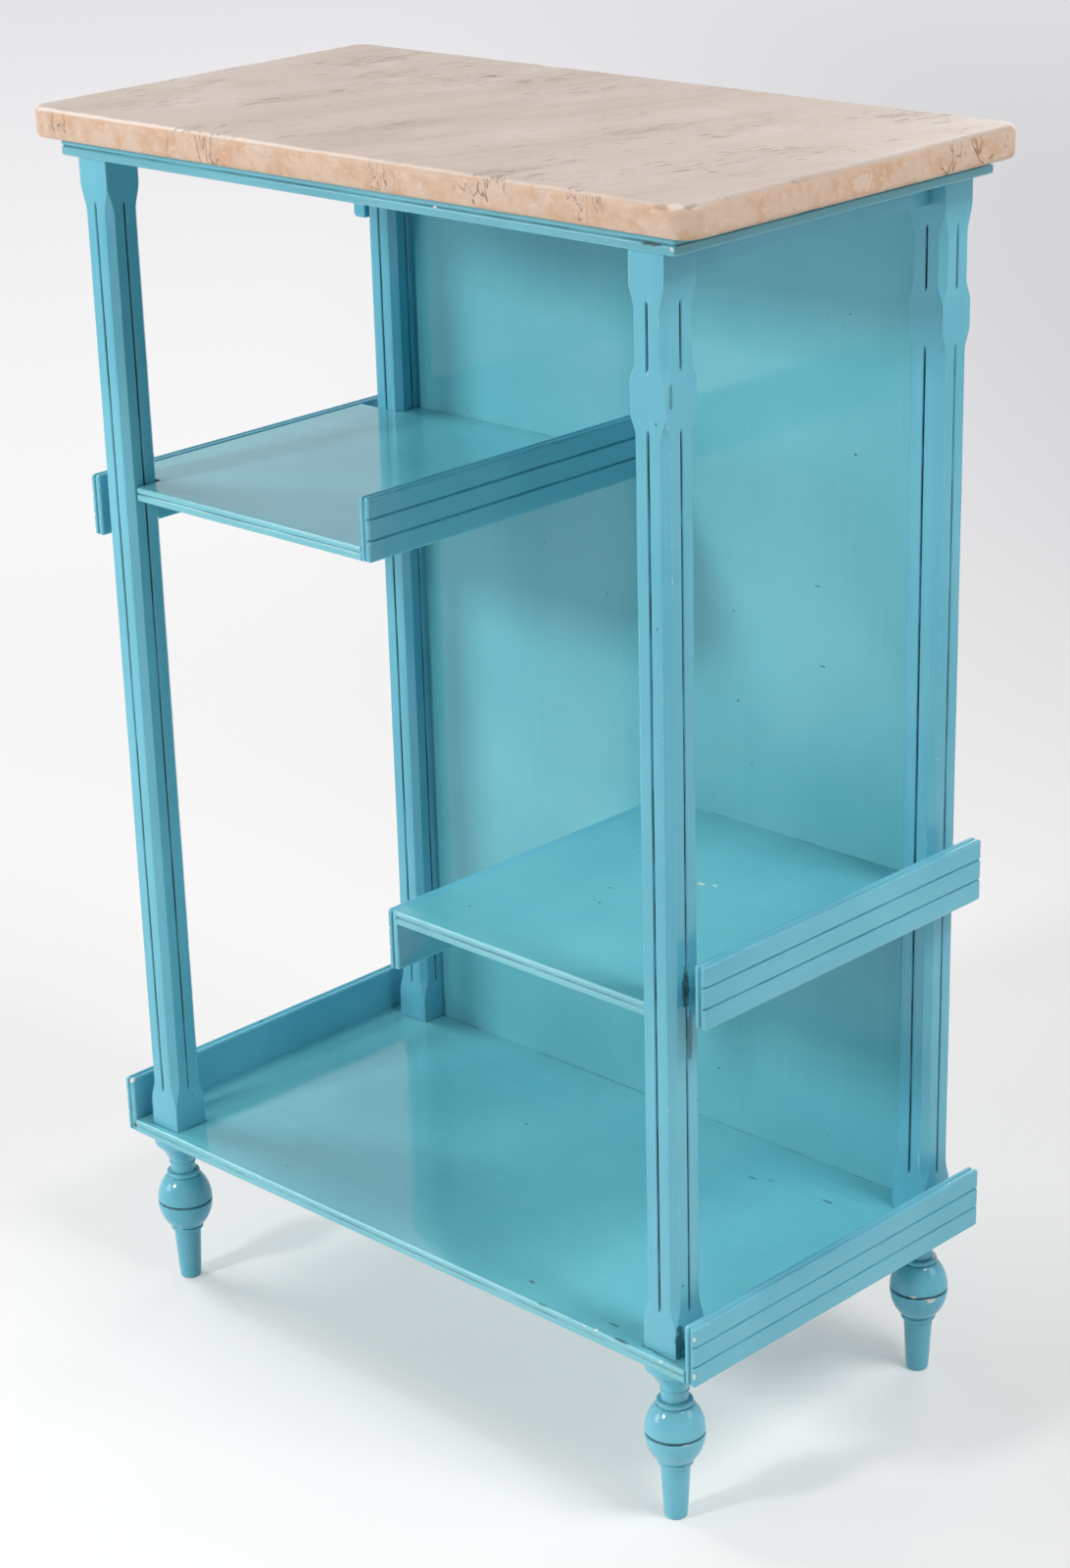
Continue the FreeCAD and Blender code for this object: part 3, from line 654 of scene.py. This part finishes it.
def footOutline():
    s = footShape
    ringTop = s["legLength"] + s["ringHeight"]
    drop = s["ballRise"] * math.sqrt(1 - (s["ringRadius"] / s["ballRadius"]) ** 2)
    ball = ringTop + drop
    lift = s["ballRise"] * math.sqrt(1 - (s["collarRadius"] / s["ballRadius"]) ** 2)
    collar = ball + lift
    neck = collar + s["collarHeight"]
    cove = neck + s["neckLength"]
    rim = cove + s["coveHeight"]
    top = rim + s["rimHeight"]
    tip = s["soleRadius"] - s["soleRound"]
    lowTurn = math.degrees(math.asin(drop / s["ballRise"]))
    highTurn = math.degrees(math.asin(lift / s["ballRise"]))
    share = np.linspace(0, 1, s["coveSteps"])[:, None]
    # the flare is a curve from the neck to the rim, drawn in at its middle by the hollow
    first, last = np.array([s["neckRadius"], cove]), np.array([s["coveRadius"], rim])
    flare = first + (last - first) * share
    flare[:, :1] -= 4 * share * (1 - share) * s["coveHollow"]
    collarHalf = s["collarHeight"] / 2
    collarReach = collarHalf * s["collarBulge"]
    ringHalf = s["ringHeight"] / 2
    beadHalf = s["beadHeight"] / 2
    ballRound = (0, ball), (s["ballRadius"], s["ballRise"])
    groove = s["grooveTurn"]
    clear = groove + s["grooveGap"]
    outline = [
        arc((tip, s["soleRound"]), (s["soleRound"],) * 2, -90, 0, 6),
        np.linspace((s["soleRadius"], s["soleRound"]), (s["legTopRadius"], s["legLength"]), 9)[1:],
        arc((s["legTopRadius"], s["legLength"] + ringHalf),
            (s["ringRadius"] - s["legTopRadius"], ringHalf), -90, 90, 11)[1:-1],
        arc(*ballRound, -lowTurn, -clear, 24),
        arc(*ballRound, -groove, groove, 25),
        arc(*ballRound, clear, highTurn, 24),
        arc((s["collarRadius"] - collarReach, collar + collarHalf), (collarReach, collarHalf), -60, 90, 10),
        np.linspace((s["neckRadius"], neck), (s["neckRadius"], cove - s["beadHeight"]), 7),
        arc((s["neckRadius"], cove - beadHalf), (s["beadReach"], beadHalf), -90, 90, 9)[1:],
        flare[1:],
        np.linspace((s["coveRadius"], rim), (s["coveRadius"], top), 4)[1:],
    ]
    outline = np.concatenate(outline)
    onBall = outline[:, 0] > s["ballRadius"] * s["grooveFrom"]
    sunk = softGroove((outline[:, 1] - ball) / s["grooveWidth"]) * onBall
    outline[:, 0] -= sunk * s["grooveDepth"]
    joint = sum(np.exp(-((outline[:, 1] - level) / reach) ** 2)
                for level, reach in zip((neck, collar), s["jointReach"]))
    return outline, np.maximum(sunk, s["jointGrimeAndShade"] * np.clip(joint, 0, 1)), top


def makeFoot(node, material, seed):
    low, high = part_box(node)
    outline, grimeAndShade, top = footOutline()
    outline[:, 1] *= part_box("base_board")[0].z / top
    around = footShape["around"]
    turn = np.linspace(0, 2 * np.pi, around, endpoint=False) + seed
    rings = np.stack([outline[:, :1] * np.cos(turn), outline[:, :1] * np.sin(turn),
                      outline[:, 1:] + 0 * turn], -1)
    rings[..., 0] += (low.x + high.x) / 2
    rings[..., 1] += (low.y + high.y) / 2
    masks = {"grimeAndShade": np.repeat(grimeAndShade, around), "edge": np.zeros(len(grimeAndShade) * around)}
    standFor(makeTube("painted_" + node, rings, masks, sharpAngle=50.0), node, material)


# Paint: turquoise enamel, brushed along the grain, with grime and painted shade in the grooves, painted
# shade where boards meet the posts and the panel, pale worn edges and a few chips; marks are spots at known
# places, each with a size in X, Y and Z and a kind; a few of them are painted shadows or a painted highlight

paintLook = {
    "colour": linear(107, 186, 198),
    "pale": linear(125, 200, 210),
    "deep": linear(92, 173, 187),
    # the dark teal of the grime and painted shade in grooves, joints and corners
    "grimeAndShade": linear(18, 74, 88),
    "worn": linear(150, 210, 221),
    "speck": linear(38, 72, 78),
    "index": 1.6,
}
postLook = {
    **paintLook,
    "colour": linear(102, 183, 203),
    "pale": linear(120, 197, 216),
    "deep": linear(85, 168, 190),
    "index": 1.45,
}
panelLook = {
    **paintLook,
    "colour": linear(106, 185, 197),
    "pale": linear(123, 198, 209),
    "deep": linear(93, 174, 187),
    "index": 1.38,
}
# a darker copy of the paint for the sub-top: painted shade from the overhang of the slab
subTopShadedLook = {
    **paintLook,
    "colour": linear(94, 170, 188),
    "pale": linear(110, 184, 199),
    "deep": linear(80, 156, 174),
    "worn": linear(116, 188, 203),
}
markLook = {
    "primer": linear(232, 222, 214),
    "wood": linear(122, 92, 70),
    "dark": linear(20, 46, 52),
}
# repeats to a metre and detail of each noise
paintNoise = {
    "cloud": (6.0, 3.0),
    "broken": (55.0, 3.0),
    "chip": (90.0, 2.0),
    "patch": (26.0, 3.0),
    "speck": (130.0, 1.0),
    "band": (14.0, 2.0),
    "ragged": (380.0, 3.0),
    "wave": (20.0, 2.0),
    "fine": (420.0, 2.0),
}
# heights and depths are in metres
paintBody = {
    "streakNoise": (3.0, 0.6),
    "cloudShare": 0.55,
    "chipShare": 0.8,
    "patchLeast": 0.3,
    "dirtAndShadeGain": 1.5,
    "raggedReach": 1.6,
    "waveHeight": 0.0002,
    "streakHeight": 0.00004,
    "bareDepth": 0.00012,
    "bump": 0.6,
    "roughness": 0.06,
    "streakRough": 0.08,
    "fineRough": 0.03,
    "dirtAndShadeRough": 0.25,
    "bareRough": 0.35,
}
# the two noise levels between which each one comes in, and its share where that isn't 1
paintLevels = {
    "cloud": (0.28, 0.72),
    "streak": (0.45, 0.75, 0.18),
    "wornEdge": (0.35, 0.9),
    "wornBreak": (0.35, 0.65, 0.4),
    "chipEdge": (0.4, 0.8),
    "chip": (0.705, 0.72),
    "patch": (0.25, 0.7, 0.7),
    "dirtAndShade": (0.06, 1.0),
    "cornerShade": (0.38, 0.62, 0.75),
    "speck": (0.8, 0.82, 0.8),
    "band": (0.45, 0.6),
    "spot": (1.05, 0.85),
}


def mark(kind, place, size, strength=1.0):
    return {"kind": kind, "place": place, "size": size, "strength": strength}


def spotMask(tree, place, spot, ragged):
    away = tree.vector("SUBTRACT", place, spot["place"])
    away = tree.vector("DIVIDE", away, spot["size"])
    distance = tree.vector("LENGTH", away, out=1)
    return (distance + ragged).rise(*paintLevels["spot"])


def paintMaterial(name, grain, marks=(), cornerShade=None, look=paintLook):
    body, levels = paintBody, paintLevels
    material, tree, place = newMaterial(name)
    cloud, broken, chip, patch, speck, band, rag, wave, fine = (
        noise(tree, place, *settings) for settings in paintNoise.values())
    streak = stretchedNoise(tree, place, grain, *body["streakNoise"])
    colour = mixed(tree, cloud.rise(*levels["cloud"]), look["deep"], look["pale"])
    colour = mixed(tree, body["cloudShare"], look["colour"], colour)
    colour = mixed(tree, streak.rise(*levels["streak"]), colour, look["pale"])
    # worn edges: a pale line, broken up along its length
    edge = attribute(tree, "edge")
    worn = edge.rise(*levels["wornEdge"]) * broken.rise(*levels["wornBreak"])
    colour = mixed(tree, worn, colour, look["worn"])
    chips = edge.rise(*levels["chipEdge"]) * chip.rise(*levels["chip"])
    colour = mixed(tree, chips * body["chipShare"], colour, markLook["primer"])
    # grime and painted shade lie in the grooves, more in some places than in others
    patchy = patch.rise(*levels["patch"]) + body["patchLeast"]
    dirtAndShade = (attribute(tree, "grimeAndShade") * patchy * body["dirtAndShadeGain"]).rise(*levels["dirtAndShade"])
    # painted shade where the boards meet the posts and the panel
    if cornerShade:
        dirtAndShade = dirtAndShade.larger(cornerShade(tree, place) * broken.rise(*levels["cornerShade"]))
    colour = mixed(tree, dirtAndShade, colour, look["grimeAndShade"])
    specks = speck.rise(*levels["speck"]) * band.rise(*levels["band"])
    colour = mixed(tree, specks, colour, look["speck"])
    ragged = (rag - 0.5) * body["raggedReach"]
    bare = chips
    for spot in marks:
        mask = spotMask(tree, place, spot, ragged)
        colour = mixed(tree, mask * spot["strength"], colour, markLook[spot["kind"]])
        bare = bare.larger(mask)
    height = wave * body["waveHeight"] + streak * body["streakHeight"] - bare * body["bareDepth"]
    rough = body["roughness"] + streak * body["streakRough"] + fine * body["fineRough"]
    rough = rough + dirtAndShade * body["dirtAndShadeRough"] + bare * body["bareRough"]
    finishSurface(tree, colour, rough, height, body["bump"], {"IOR": look["index"]})
    return material


cornerShadeReach = {"post": 0.0022, "panel": 0.0018}


def postFootShade(tree, place):
    # painted shade: 1 at the foot of a post, 0 beyond the reach
    low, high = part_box("front_left_post")
    rearLow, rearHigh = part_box("rear_right_post")
    x, y = place.parts()[:2]
    middleY = (low.y + rearHigh.y) / 2
    half = (high.x - low.x) / 2
    awayX = abs(abs(x) - (rearLow.x + rearHigh.x) / 2)
    awayY = abs(abs(y - middleY) - (rearHigh.y - low.y) / 2 + half)
    return (awayX.larger(awayY) - half).rise(cornerShadeReach["post"], 0.0)


# painted shade along the front of the back panel where boards meet it, and at the feet of the posts
def panelAndPostShade(tree, place):
    away = abs(place.parts()[1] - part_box("back_panel")[0].y)
    return away.rise(cornerShadeReach["panel"], 0.0).larger(postFootShade(tree, place))


grainAlongX = (6.0, 260.0, 260.0)
grainAlongY = (260.0, 6.0, 260.0)
grainAlongZ = (260.0, 260.0, 6.0)
topScuffs = (
    ((0.259, -0.1441), (0.013, 0.0011), 0.6),
    ((0.1225, -0.1293), (0.003, 0.0014), 0.6),
    ((0.15, -0.1475), (0.005, 0.0012), 0.5),
    ((0.2053, -0.1351), (0.004, 0.0012), 0.6),
    ((0.1358, 0.0889), (0.0045, 0.001), 0.6),
    ((0.1489, 0.0943), (0.003, 0.001), 0.5),
    ((0.1995, 0.0963), (0.005, 0.0012), 0.6),
)
baseMarks = (
    mark("primer", (0.2596, -0.1492, 0.1313), (0.0014, 0.003, 0.0008), 0.5),
    mark("primer", (0.2003, -0.1492, 0.1325), (0.0013, 0.003, 0.0009)),
    mark("dark", (0.223, -0.148, 0.1326), (0.006, 0.002, 0.0007), 0.7),
    *(mark("dark", (*place, 0.1326), (*size, 0.002), strength) for place, size, strength in topScuffs),
)
panelMarks = (
    mark("dark", (0.1498, 0.1424, 0.5733), (0.0026, 0.002, 0.0007), 0.6),
    mark("dark", (0.1546, 0.1424, 0.5162), (0.0034, 0.002, 0.0007), 0.7),
    mark("dark", (0.0735, 0.1424, 0.5402), (0.0012, 0.002, 0.0012), 0.5),
)
rightGalleryMarks = (
    mark("primer", (0.2925, -0.1375, 0.1664), (0.003, 0.0044, 0.0026)),
    mark("primer", (0.2905, -0.1492, 0.1645), (0.0012, 0.002, 0.0022)),
    mark("primer", (0.2892, -0.1492, 0.1591), (0.001, 0.002, 0.0018)),
    mark("primer", (0.2889, -0.1492, 0.1317), (0.0009, 0.002, 0.0024)),
)
leftGalleryMarks = (
    mark("primer", (-0.282, -0.1488, 0.166), (0.0026, 0.0026, 0.0022)),
    mark("wood", (-0.2815, -0.1492, 0.1281), (0.0012, 0.002, 0.0018)),
)
shelfMarks = (
    mark("primer", (0.1357, 0.0353, 0.382), (0.003, 0.0012, 0.002)),
    mark("primer", (0.1453, 0.0388, 0.382), (0.0024, 0.001, 0.002)),
)
# a dark chip, a painted highlight beside it in primer colour, and a pale speck
subTopMarksAndHighlight = (
    mark("dark", (0.2615, -0.147, 0.8728), (0.0085, 0.003, 0.0011), 0.85),
    mark("primer", (0.2775, -0.1465, 0.8715), (0.0014, 0.003, 0.0012), 0.5),
    mark("primer", (0.0836, -0.147, 0.8735), (0.0014, 0.003, 0.0008)),
)
# a scuff on the middle block; the other three are painted shadows, two beside the end of the lower shelf's
# outer gallery and one in the gap beside the base's right gallery
frontRightScuffAndShadows = (
    mark("dark", (0.2672, -0.1375, 0.781), (0.0012, 0.0016, 0.0075), 0.45),
    mark("dark", (0.2672, -0.129, 0.3965), (0.002, 0.0034, 0.015), 0.75),
    mark("dark", (0.2672, -0.1255, 0.364), (0.002, 0.0026, 0.018), 0.5),
    mark("dark", (0.2672, -0.1385, 0.144), (0.002, 0.0044, 0.012), 0.7),
)
footMarks = (
    mark("primer", (0.2622, 0.1181, 0.0682), (0.003, 0.003, 0.0014), 0.8),
    mark("primer", (0.271, 0.1272, 0.0652), (0.0034, 0.0034, 0.0016), 0.7),
)
paintY = paintMaterial("paint_along_y", grainAlongY, look=postLook)
paintZ = paintMaterial("paint_along_z", grainAlongZ, look=postLook)
footPaint = paintMaterial("paint_rear_right_foot", grainAlongZ, footMarks, look=postLook)
panelPaint = paintMaterial("paint_panel", grainAlongZ, panelMarks, look=panelLook)
basePaint = paintMaterial("paint_base", grainAlongX, baseMarks, panelAndPostShade)
shelfPaint = paintMaterial("paint_shelves", grainAlongX, shelfMarks, panelAndPostShade)
subTopShadedPaint = paintMaterial("paint_sub_top_shade_and_highlight", grainAlongX, subTopMarksAndHighlight, look=subTopShadedLook)
rightGalleryPaint = paintMaterial("paint_right_gallery", grainAlongY, rightGalleryMarks, look=postLook)
leftGalleryPaint = paintMaterial("paint_left_gallery", grainAlongY, leftGalleryMarks, look=postLook)
frontRightPaintWithShadows = paintMaterial("paint_front_right_with_shadows", grainAlongZ, frontRightScuffAndShadows, look=postLook)
print("paint made")


# Travertine: beige layers from front to back, with open pits and thin cracks, warmer on the sides

stoneLook = {
    "top": linear(194, 178, 166),
    "topPale": linear(206, 192, 182),
    "topGrey": linear(174, 156, 142),
    "side": linear(205, 179, 157),
    "sidePale": linear(217, 197, 181),
    "sideWarm": linear(197, 158, 126),
    "pit": linear(128, 109, 96),
    "crack": linear(112, 84, 64),
    "chip": linear(240, 232, 224),
}
stoneBody = {
    "layerTurn": -72.0,  # degrees from X, so that the layers lean a little to the right
    "rimShare": 0.55,
    "pitCrowding": 0.7,
    "pitSideLoss": 0.7,
    "pitShare": 0.65,
    "pitDepth": 0.0004,
    "pitRough": 0.3,
    "crackShare": 0.75,
    "crackDepth": 0.0003,
    "grainScale": 300.0,
    "grainHeight": 0.00003,
    "grainRough": 0.12,
    "chipRough": 0.3,
    "raggedReach": 1.8,
    "bump": 0.8,
    "roughness": 0.36,
}
# repeats to a metre along each axis, then detail, roughness and distortion of the noise
stoneNoise = {
    "layers": ((5.0, 22.0, 40.0), 5.0, 0.6, 0.5),
    "cloud": ((12.0, 20.0, 30.0), 4.0),
    "mottle": ((60.0, 60.0, 60.0), 4.0, 0.6),
    "crumb": ((150.0, 150.0, 190.0), 4.0, 0.65),
    "pits": ((52.0, 330.0, 330.0), 2.0, 0.5, 0.5),
    "crowd": ((9.0, 16.0, 16.0), 2.0),
    "veins": ((24.0, 190.0, 190.0), 3.0, 0.6, 1.2),
    "cracks": ((34.0, 34.0, 16.0), 3.0, 0.6, 0.8),
}
# two noise levels and a share each, as for the paint
stoneLevels = {
    "grey": (0.45, 0.75, 0.8),
    "pale": (0.5, 0.75, 0.7),
    "warm": (0.55, 0.72, 0.35),
    "sideWarm": (0.42, 0.66),
    "sidePale": (0.52, 0.7, 0.6),
    "sideDeep": (0.42, 0.3, 0.55),
    "pits": (0.67, 0.76),
    "veins": (0.022, 0.004, 0.35),
    "veinBands": (0.5, 0.64),
    "cracks": (0.01, 0.002),
    "crackBands": (0.47, 0.58),
    "chipEdge": (0.35, 0.8),
    "chipCrumb": (0.44, 0.58, 0.3),
    "grain": (0.3, 0.7, 0.1),
}
# a round pale fossil in the right edge, and a white chip with a brown crust behind the near corner
stoneMarks = (
    mark("sideWarm", (0.3, -0.003, 0.889), (0.004, 0.0115, 0.0075), 0.6),
    mark("sidePale", (0.3, -0.003, 0.889), (0.004, 0.0092, 0.0056), 0.6),
    mark("crack", (0.296, -0.128, 0.8985), (0.003, 0.028, 0.0018), 0.45),
    mark("chip", (0.288, -0.1545, 0.8985), (0.005, 0.0034, 0.0026), 0.3),
    mark("crack", (0.278, -0.156, 0.8975), (0.006, 0.003, 0.0016), 0.35),
)


def travertine():
    look, body, levels = stoneLook, stoneBody, stoneLevels
    material, tree, place = newMaterial("travertine_honed")
    turn = (0, 0, math.radians(body["layerTurn"]))
    aligned = tree.node("ShaderNodeMapping", {"Vector": place, "Rotation": turn})
    layers, cloud, pitNoise, crowd, veinNoise = (
        stretchedNoise(tree, aligned, *stoneNoise[key])
        for key in ("layers", "cloud", "pits", "crowd", "veins"))
    mottle, crumb, crackNoise = (
        stretchedNoise(tree, place, *stoneNoise[key]) for key in ("mottle", "crumb", "cracks"))
    grain = noise(tree, place, body["grainScale"], detail=3.0)
    side = attribute(tree, "side")
    top = mixed(tree, layers.rise(*levels["grey"]), look["top"], look["topGrey"])
    top = mixed(tree, cloud.rise(*levels["pale"]), top, look["topPale"])
    top = mixed(tree, mottle.rise(*levels["warm"]), top, look["sideWarm"])
    wall = mixed(tree, mottle.rise(*levels["sideWarm"]), look["side"], look["sideWarm"])
    wall = mixed(tree, crumb.rise(*levels["sidePale"]), wall, look["sidePale"])
    wall = mixed(tree, crumb.rise(*levels["sideDeep"]), wall, look["sideWarm"])
    wall = mixed(tree, attribute(tree, "rim") * body["rimShare"], wall, look["sideWarm"])
    colour = mixed(tree, side, top, wall)
    # thin veins and short pits along the layers, crowded in some bands, and cracks down the sides
    veins = abs(veinNoise - 0.5).rise(*levels["veins"]) * crowd.rise(*levels["veinBands"]) * (1 - side)
    crowded = pitNoise + (crowd - 0.5) * body["pitCrowding"]
    pits = crowded.rise(*levels["pits"]) * (1 - side * body["pitSideLoss"])
    cracks = abs(crackNoise - 0.5).rise(*levels["cracks"]) * side * crowd.rise(*levels["crackBands"])
    colour = mixed(tree, veins, colour, look["pit"])
    colour = mixed(tree, pits * body["pitShare"], colour, look["pit"])
    colour = mixed(tree, cracks * body["crackShare"], colour, look["crack"])
    ragged = (crumb - 0.5) * body["raggedReach"]
    for spot in stoneMarks:
        mask = spotMask(tree, place, spot, ragged) * spot["strength"]
        colour = mixed(tree, mask, colour, look[spot["kind"]])
    chipped = attribute(tree, "edge")
    fresh = chipped.rise(*levels["chipEdge"]) * crumb.rise(*levels["chipCrumb"])
    colour = mixed(tree, fresh, colour, look["chip"])
    colour = mixed(tree, grain.rise(*levels["grain"]), colour, look["topGrey"])
    height = grain * body["grainHeight"] - pits * body["pitDepth"] - cracks * body["crackDepth"]
    rough = body["roughness"] + grain * body["grainRough"] + pits * body["pitRough"]
    rough = rough + chipped * body["chipRough"]
    finishSurface(tree, colour, rough, height, body["bump"])
    return material


# Fasteners: dulled steel with fine scratches, and straight-grained beech

steelLook = {
    "bright": linear(150, 150, 152),
    "dull": linear(104, 100, 96),
    "scratchScale": (900.0, 120.0, 900.0),
    "scratchHeight": 0.00005,
    "stainScale": 160.0,
    "stainLevels": (0.4, 0.7),
    "stainRough": 0.3,
    "roughness": 0.3,
    "bump": 0.4,
}
beechLook = {
    "pale": linear(206, 168, 116),
    "dark": linear(174, 130, 84),
    "grainScale": (80.0, 80.0, 900.0),
    "grainLevels": (0.3, 0.7),
    "grainHeight": 0.0001,
    "fleckScale": 900.0,
    "fleckLevels": (0.62, 0.7, 0.4),
    "fleckRough": 0.2,
    "roughness": 0.55,
    "bump": 0.4,
}


def steelMaterial():
    look = steelLook
    material, tree, place = newMaterial("dulled_steel")
    scratch = stretchedNoise(tree, place, look["scratchScale"])
    stain = noise(tree, place, look["stainScale"], detail=3.0)
    colour = mixed(tree, stain.rise(*look["stainLevels"]), look["bright"], look["dull"])
    rough = look["roughness"] + stain * look["stainRough"]
    finishSurface(tree, colour, rough, scratch * look["scratchHeight"], look["bump"], {"Metallic": 1.0})
    return material


def beechMaterial():
    look = beechLook
    material, tree, place = newMaterial("bare_beech")
    grain = stretchedNoise(tree, place, look["grainScale"], 4.0)
    fleck = noise(tree, place, look["fleckScale"])
    colour = mixed(tree, grain.rise(*look["grainLevels"]), look["pale"], look["dark"])
    colour = mixed(tree, fleck.rise(*look["fleckLevels"]), colour, look["dark"])
    rough = look["roughness"] + fleck * look["fleckRough"]
    finishSurface(tree, colour, rough, grain * look["grainHeight"], look["bump"])
    return material


steel = steelMaterial()
beech = beechMaterial()
stone = travertine()
print("stone, steel and beech made")


def dress(node, material):
    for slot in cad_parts[node].material_slots:
        slot.material = material


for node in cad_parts:
    if node.endswith(("screws", "pins")):
        dress(node, steel)
    elif node.endswith("dowels"):
        dress(node, beech)
dress("back_panel", panelPaint)
dress("rear_left_cleat", paintZ)
dress("right_top_rail", paintY)

makePost("front_left_post", paintZ, rebateCorner=0, hasMiddle=False, seed=1.0)
makePost("front_right_post", frontRightPaintWithShadows, rebateCorner=0, hasMiddle=True, seed=2.3)
makePost("rear_left_post", paintZ, rebateCorner=1, hasMiddle=False, seed=3.1)
makePost("rear_right_post", paintZ, rebateCorner=-1, hasMiddle=True, seed=4.7)
print("posts made")
makeGallery("base_left_gallery", leftGalleryPaint, side=-1, endGrimeAndShade=0.9)
makeGallery("base_right_gallery", rightGalleryPaint, side=1, endGrimeAndShade=0.4)
makeGallery("upper_left_shelf_outer_gallery", paintY, side=-1, endGrimeAndShade=0.9)
makeGallery("upper_left_shelf_inner_gallery", paintY, side=1, endGrimeAndShade=0.4)
makeGallery("lower_right_shelf_outer_gallery", paintY, side=1, endGrimeAndShade=0.4, reedGrimeAndShade=0.45)
makeGallery("lower_right_shelf_inner_gallery", paintY, side=-1, endGrimeAndShade=0.6, flush=True)
makeBoard("base_board", basePaint, boardShape, [edgeGroove("base_board", 1, -1)], plain=((0, -1), (0, 1)))
makeBoard("sub_top_board", subTopShadedPaint, boardShape,
          [edgeGroove("sub_top_board", axis, side) for axis in (0, 1) for side in (-1, 1)])
makeShelf("upper_left_shelf", shelfPaint, -1)
makeShelf("lower_right_shelf", shelfPaint, 1)
print("boards made")
footTurn = 0.7  # radians between the seams of one foot and the next
for seed, corner in enumerate(("front_left", "front_right", "rear_left", "rear_right")):
    makeFoot(corner + "_foot", footPaint if corner == "rear_right" else paintZ, footTurn * seed)
print("feet made")
makeSlab("stone_top", stone)
print("slab made")


# Stage: pale floor, soft lights, world and camera

cameraView = {
    "azimuth": 46.424,
    "elevation": 23.098,
    "roll": -2.37,
    "distance": 2.38482,
    "target": (-0.01009, -0.08555, 0.35215),
    "lens": 78.14,
    "shift": (0.0665, 0.0882),
    "sensor": 36,
    "clip": 60,
}


def makeCamera():
    view = cameraView
    a, e, r = (math.radians(view[key]) for key in ("azimuth", "elevation", "roll"))
    back = Vector((math.sin(a) * math.cos(e), -math.cos(a) * math.cos(e), math.sin(e)))
    right = Vector((math.cos(a), math.sin(a), 0))
    up = back.cross(right)
    turnedRight = right * math.cos(r) + up * math.sin(r)
    turnedUp = up * math.cos(r) - right * math.sin(r)
    data = bpy.data.cameras.new("camera")
    data.sensor_width = view["sensor"]
    data.lens = view["lens"]
    data.shift_x, data.shift_y = view["shift"]
    data.clip_end = view["clip"]
    camera = addObject("camera", data)
    place = Vector(view["target"]) + back * view["distance"]
    turned = Matrix((turnedRight, turnedUp, back)).transposed().to_4x4()
    camera.matrix_world = Matrix.Translation(place) @ turned
    scene.camera = camera


lamps = {
    "front": {"place": (-0.68, -2.92, 1.98), "size": 0.45, "power": 50.0},
    "low": {"place": (-1.8, -2.4, 1.0), "size": 1.0, "power": 17.0},
    "left": {"place": (-2.2, -0.4, 2.4), "size": 1.2, "power": 38.0},
    "right": {"place": (2.0, 0.1, 2.9), "size": 1.0, "power": 51.0},
    "side": {"place": (2.6, 1.4, 1.8), "size": 1.4, "power": 16.0},
    "back": {"place": (-0.8, 2.8, 1.5), "size": 1.6, "power": 18.0},
}
lampAim = Vector((0, 0, 0.45))


def makeLamps():
    for name, lamp in lamps.items():
        data = bpy.data.lights.new(name, "AREA")
        data.size = lamp["size"]
        data.energy = lamp["power"]
        light = addObject(name, data)
        light.location = lamp["place"]
        light.rotation_euler = (lampAim - Vector(lamp["place"])).to_track_quat("-Z", "Y").to_euler()


floorLook = {
    "radius": 14.0,
    "colour": linear(246, 243, 241),
    "near": linear(250, 250, 251),
    "far": linear(229, 228, 231),
    "dim": linear(220, 220, 222),
    "glow": (0.3, 1.0),  # share of the even backdrop, near and far
    "glowRise": (0.6, 2.4),  # distances between which each one comes in
    "farRise": (1.0, 8.0),
    "dimSide": (-0.6, 1.6),
    "dimFade": (9.0, 2.5),
    "roughness": 0.7,
    "sides": 96,
}


def seenDirectly(tree):
    # 1 for rays from the camera, mirrored or passed through, 0 for the light that they gather
    path = [tree.node("ShaderNodeLightPath", out=name)
            for name in ("Is Camera Ray", "Is Glossy Ray", "Is Transmission Ray")]
    return path[0].larger(path[1]).larger(path[2])


def makeFloor():
    look = floorLook
    turn = np.linspace(0, 2 * np.pi, look["sides"], endpoint=False)
    points = np.stack([np.cos(turn), np.sin(turn), 0 * turn], -1) * look["radius"]
    mesh = bpy.data.meshes.new("floor")
    mesh.from_pydata(points.tolist(), [], [list(range(len(turn)))])
    floor = addObject("floor", mesh)
    material, tree, place = newMaterial("pale_floor")
    plain = tree.node("ShaderNodeBsdfPrincipled",
                      {"Base Color": look["colour"], "Roughness": look["roughness"]})
    # further off the floor turns into an even backdrop, greyer with distance and toward the right
    away = tree.vector("LENGTH", place, out=1)
    x, y = place.parts()[:2]
    tone = mixed(tree, away.rise(*look["farRise"]), look["near"], look["far"])
    dimmed = mixed(tree, 1.0, tone, look["dim"], "MULTIPLY")
    tone = mixed(tree, (x + y).rise(*look["dimSide"]) * away.rise(*look["dimFade"]), tone, dimmed)
    glow = tree.node("ShaderNodeEmission", {"Color": tone, "Strength": 1.0})
    first, last = look["glow"]
    share = (away.rise(*look["glowRise"]) * (last - first) + first) * seenDirectly(tree)
    shader = tree.node("ShaderNodeMixShader", {0: share, 1: plain, 2: glow})
    tree.node("ShaderNodeOutputMaterial", {"Surface": shader})
    mesh.materials.append(material)


worldLook = {"colour": floorLook["far"], "ambient": 0.13}


def makeWorld():
    world = bpy.data.worlds.new("studio")
    scene.world = world
    world.use_nodes = True
    world.node_tree.nodes.clear()
    tree = Wire(world.node_tree)
    strength = seenDirectly(tree) * (1 - worldLook["ambient"]) + worldLook["ambient"]
    shader = tree.node("ShaderNodeBackground", {"Color": worldLook["colour"], "Strength": strength})
    tree.node("ShaderNodeOutputWorld", {"Surface": shader})


makeCamera()
makeLamps()
makeFloor()
makeWorld()
scene.view_settings.view_transform = "Standard"
print("stage made")
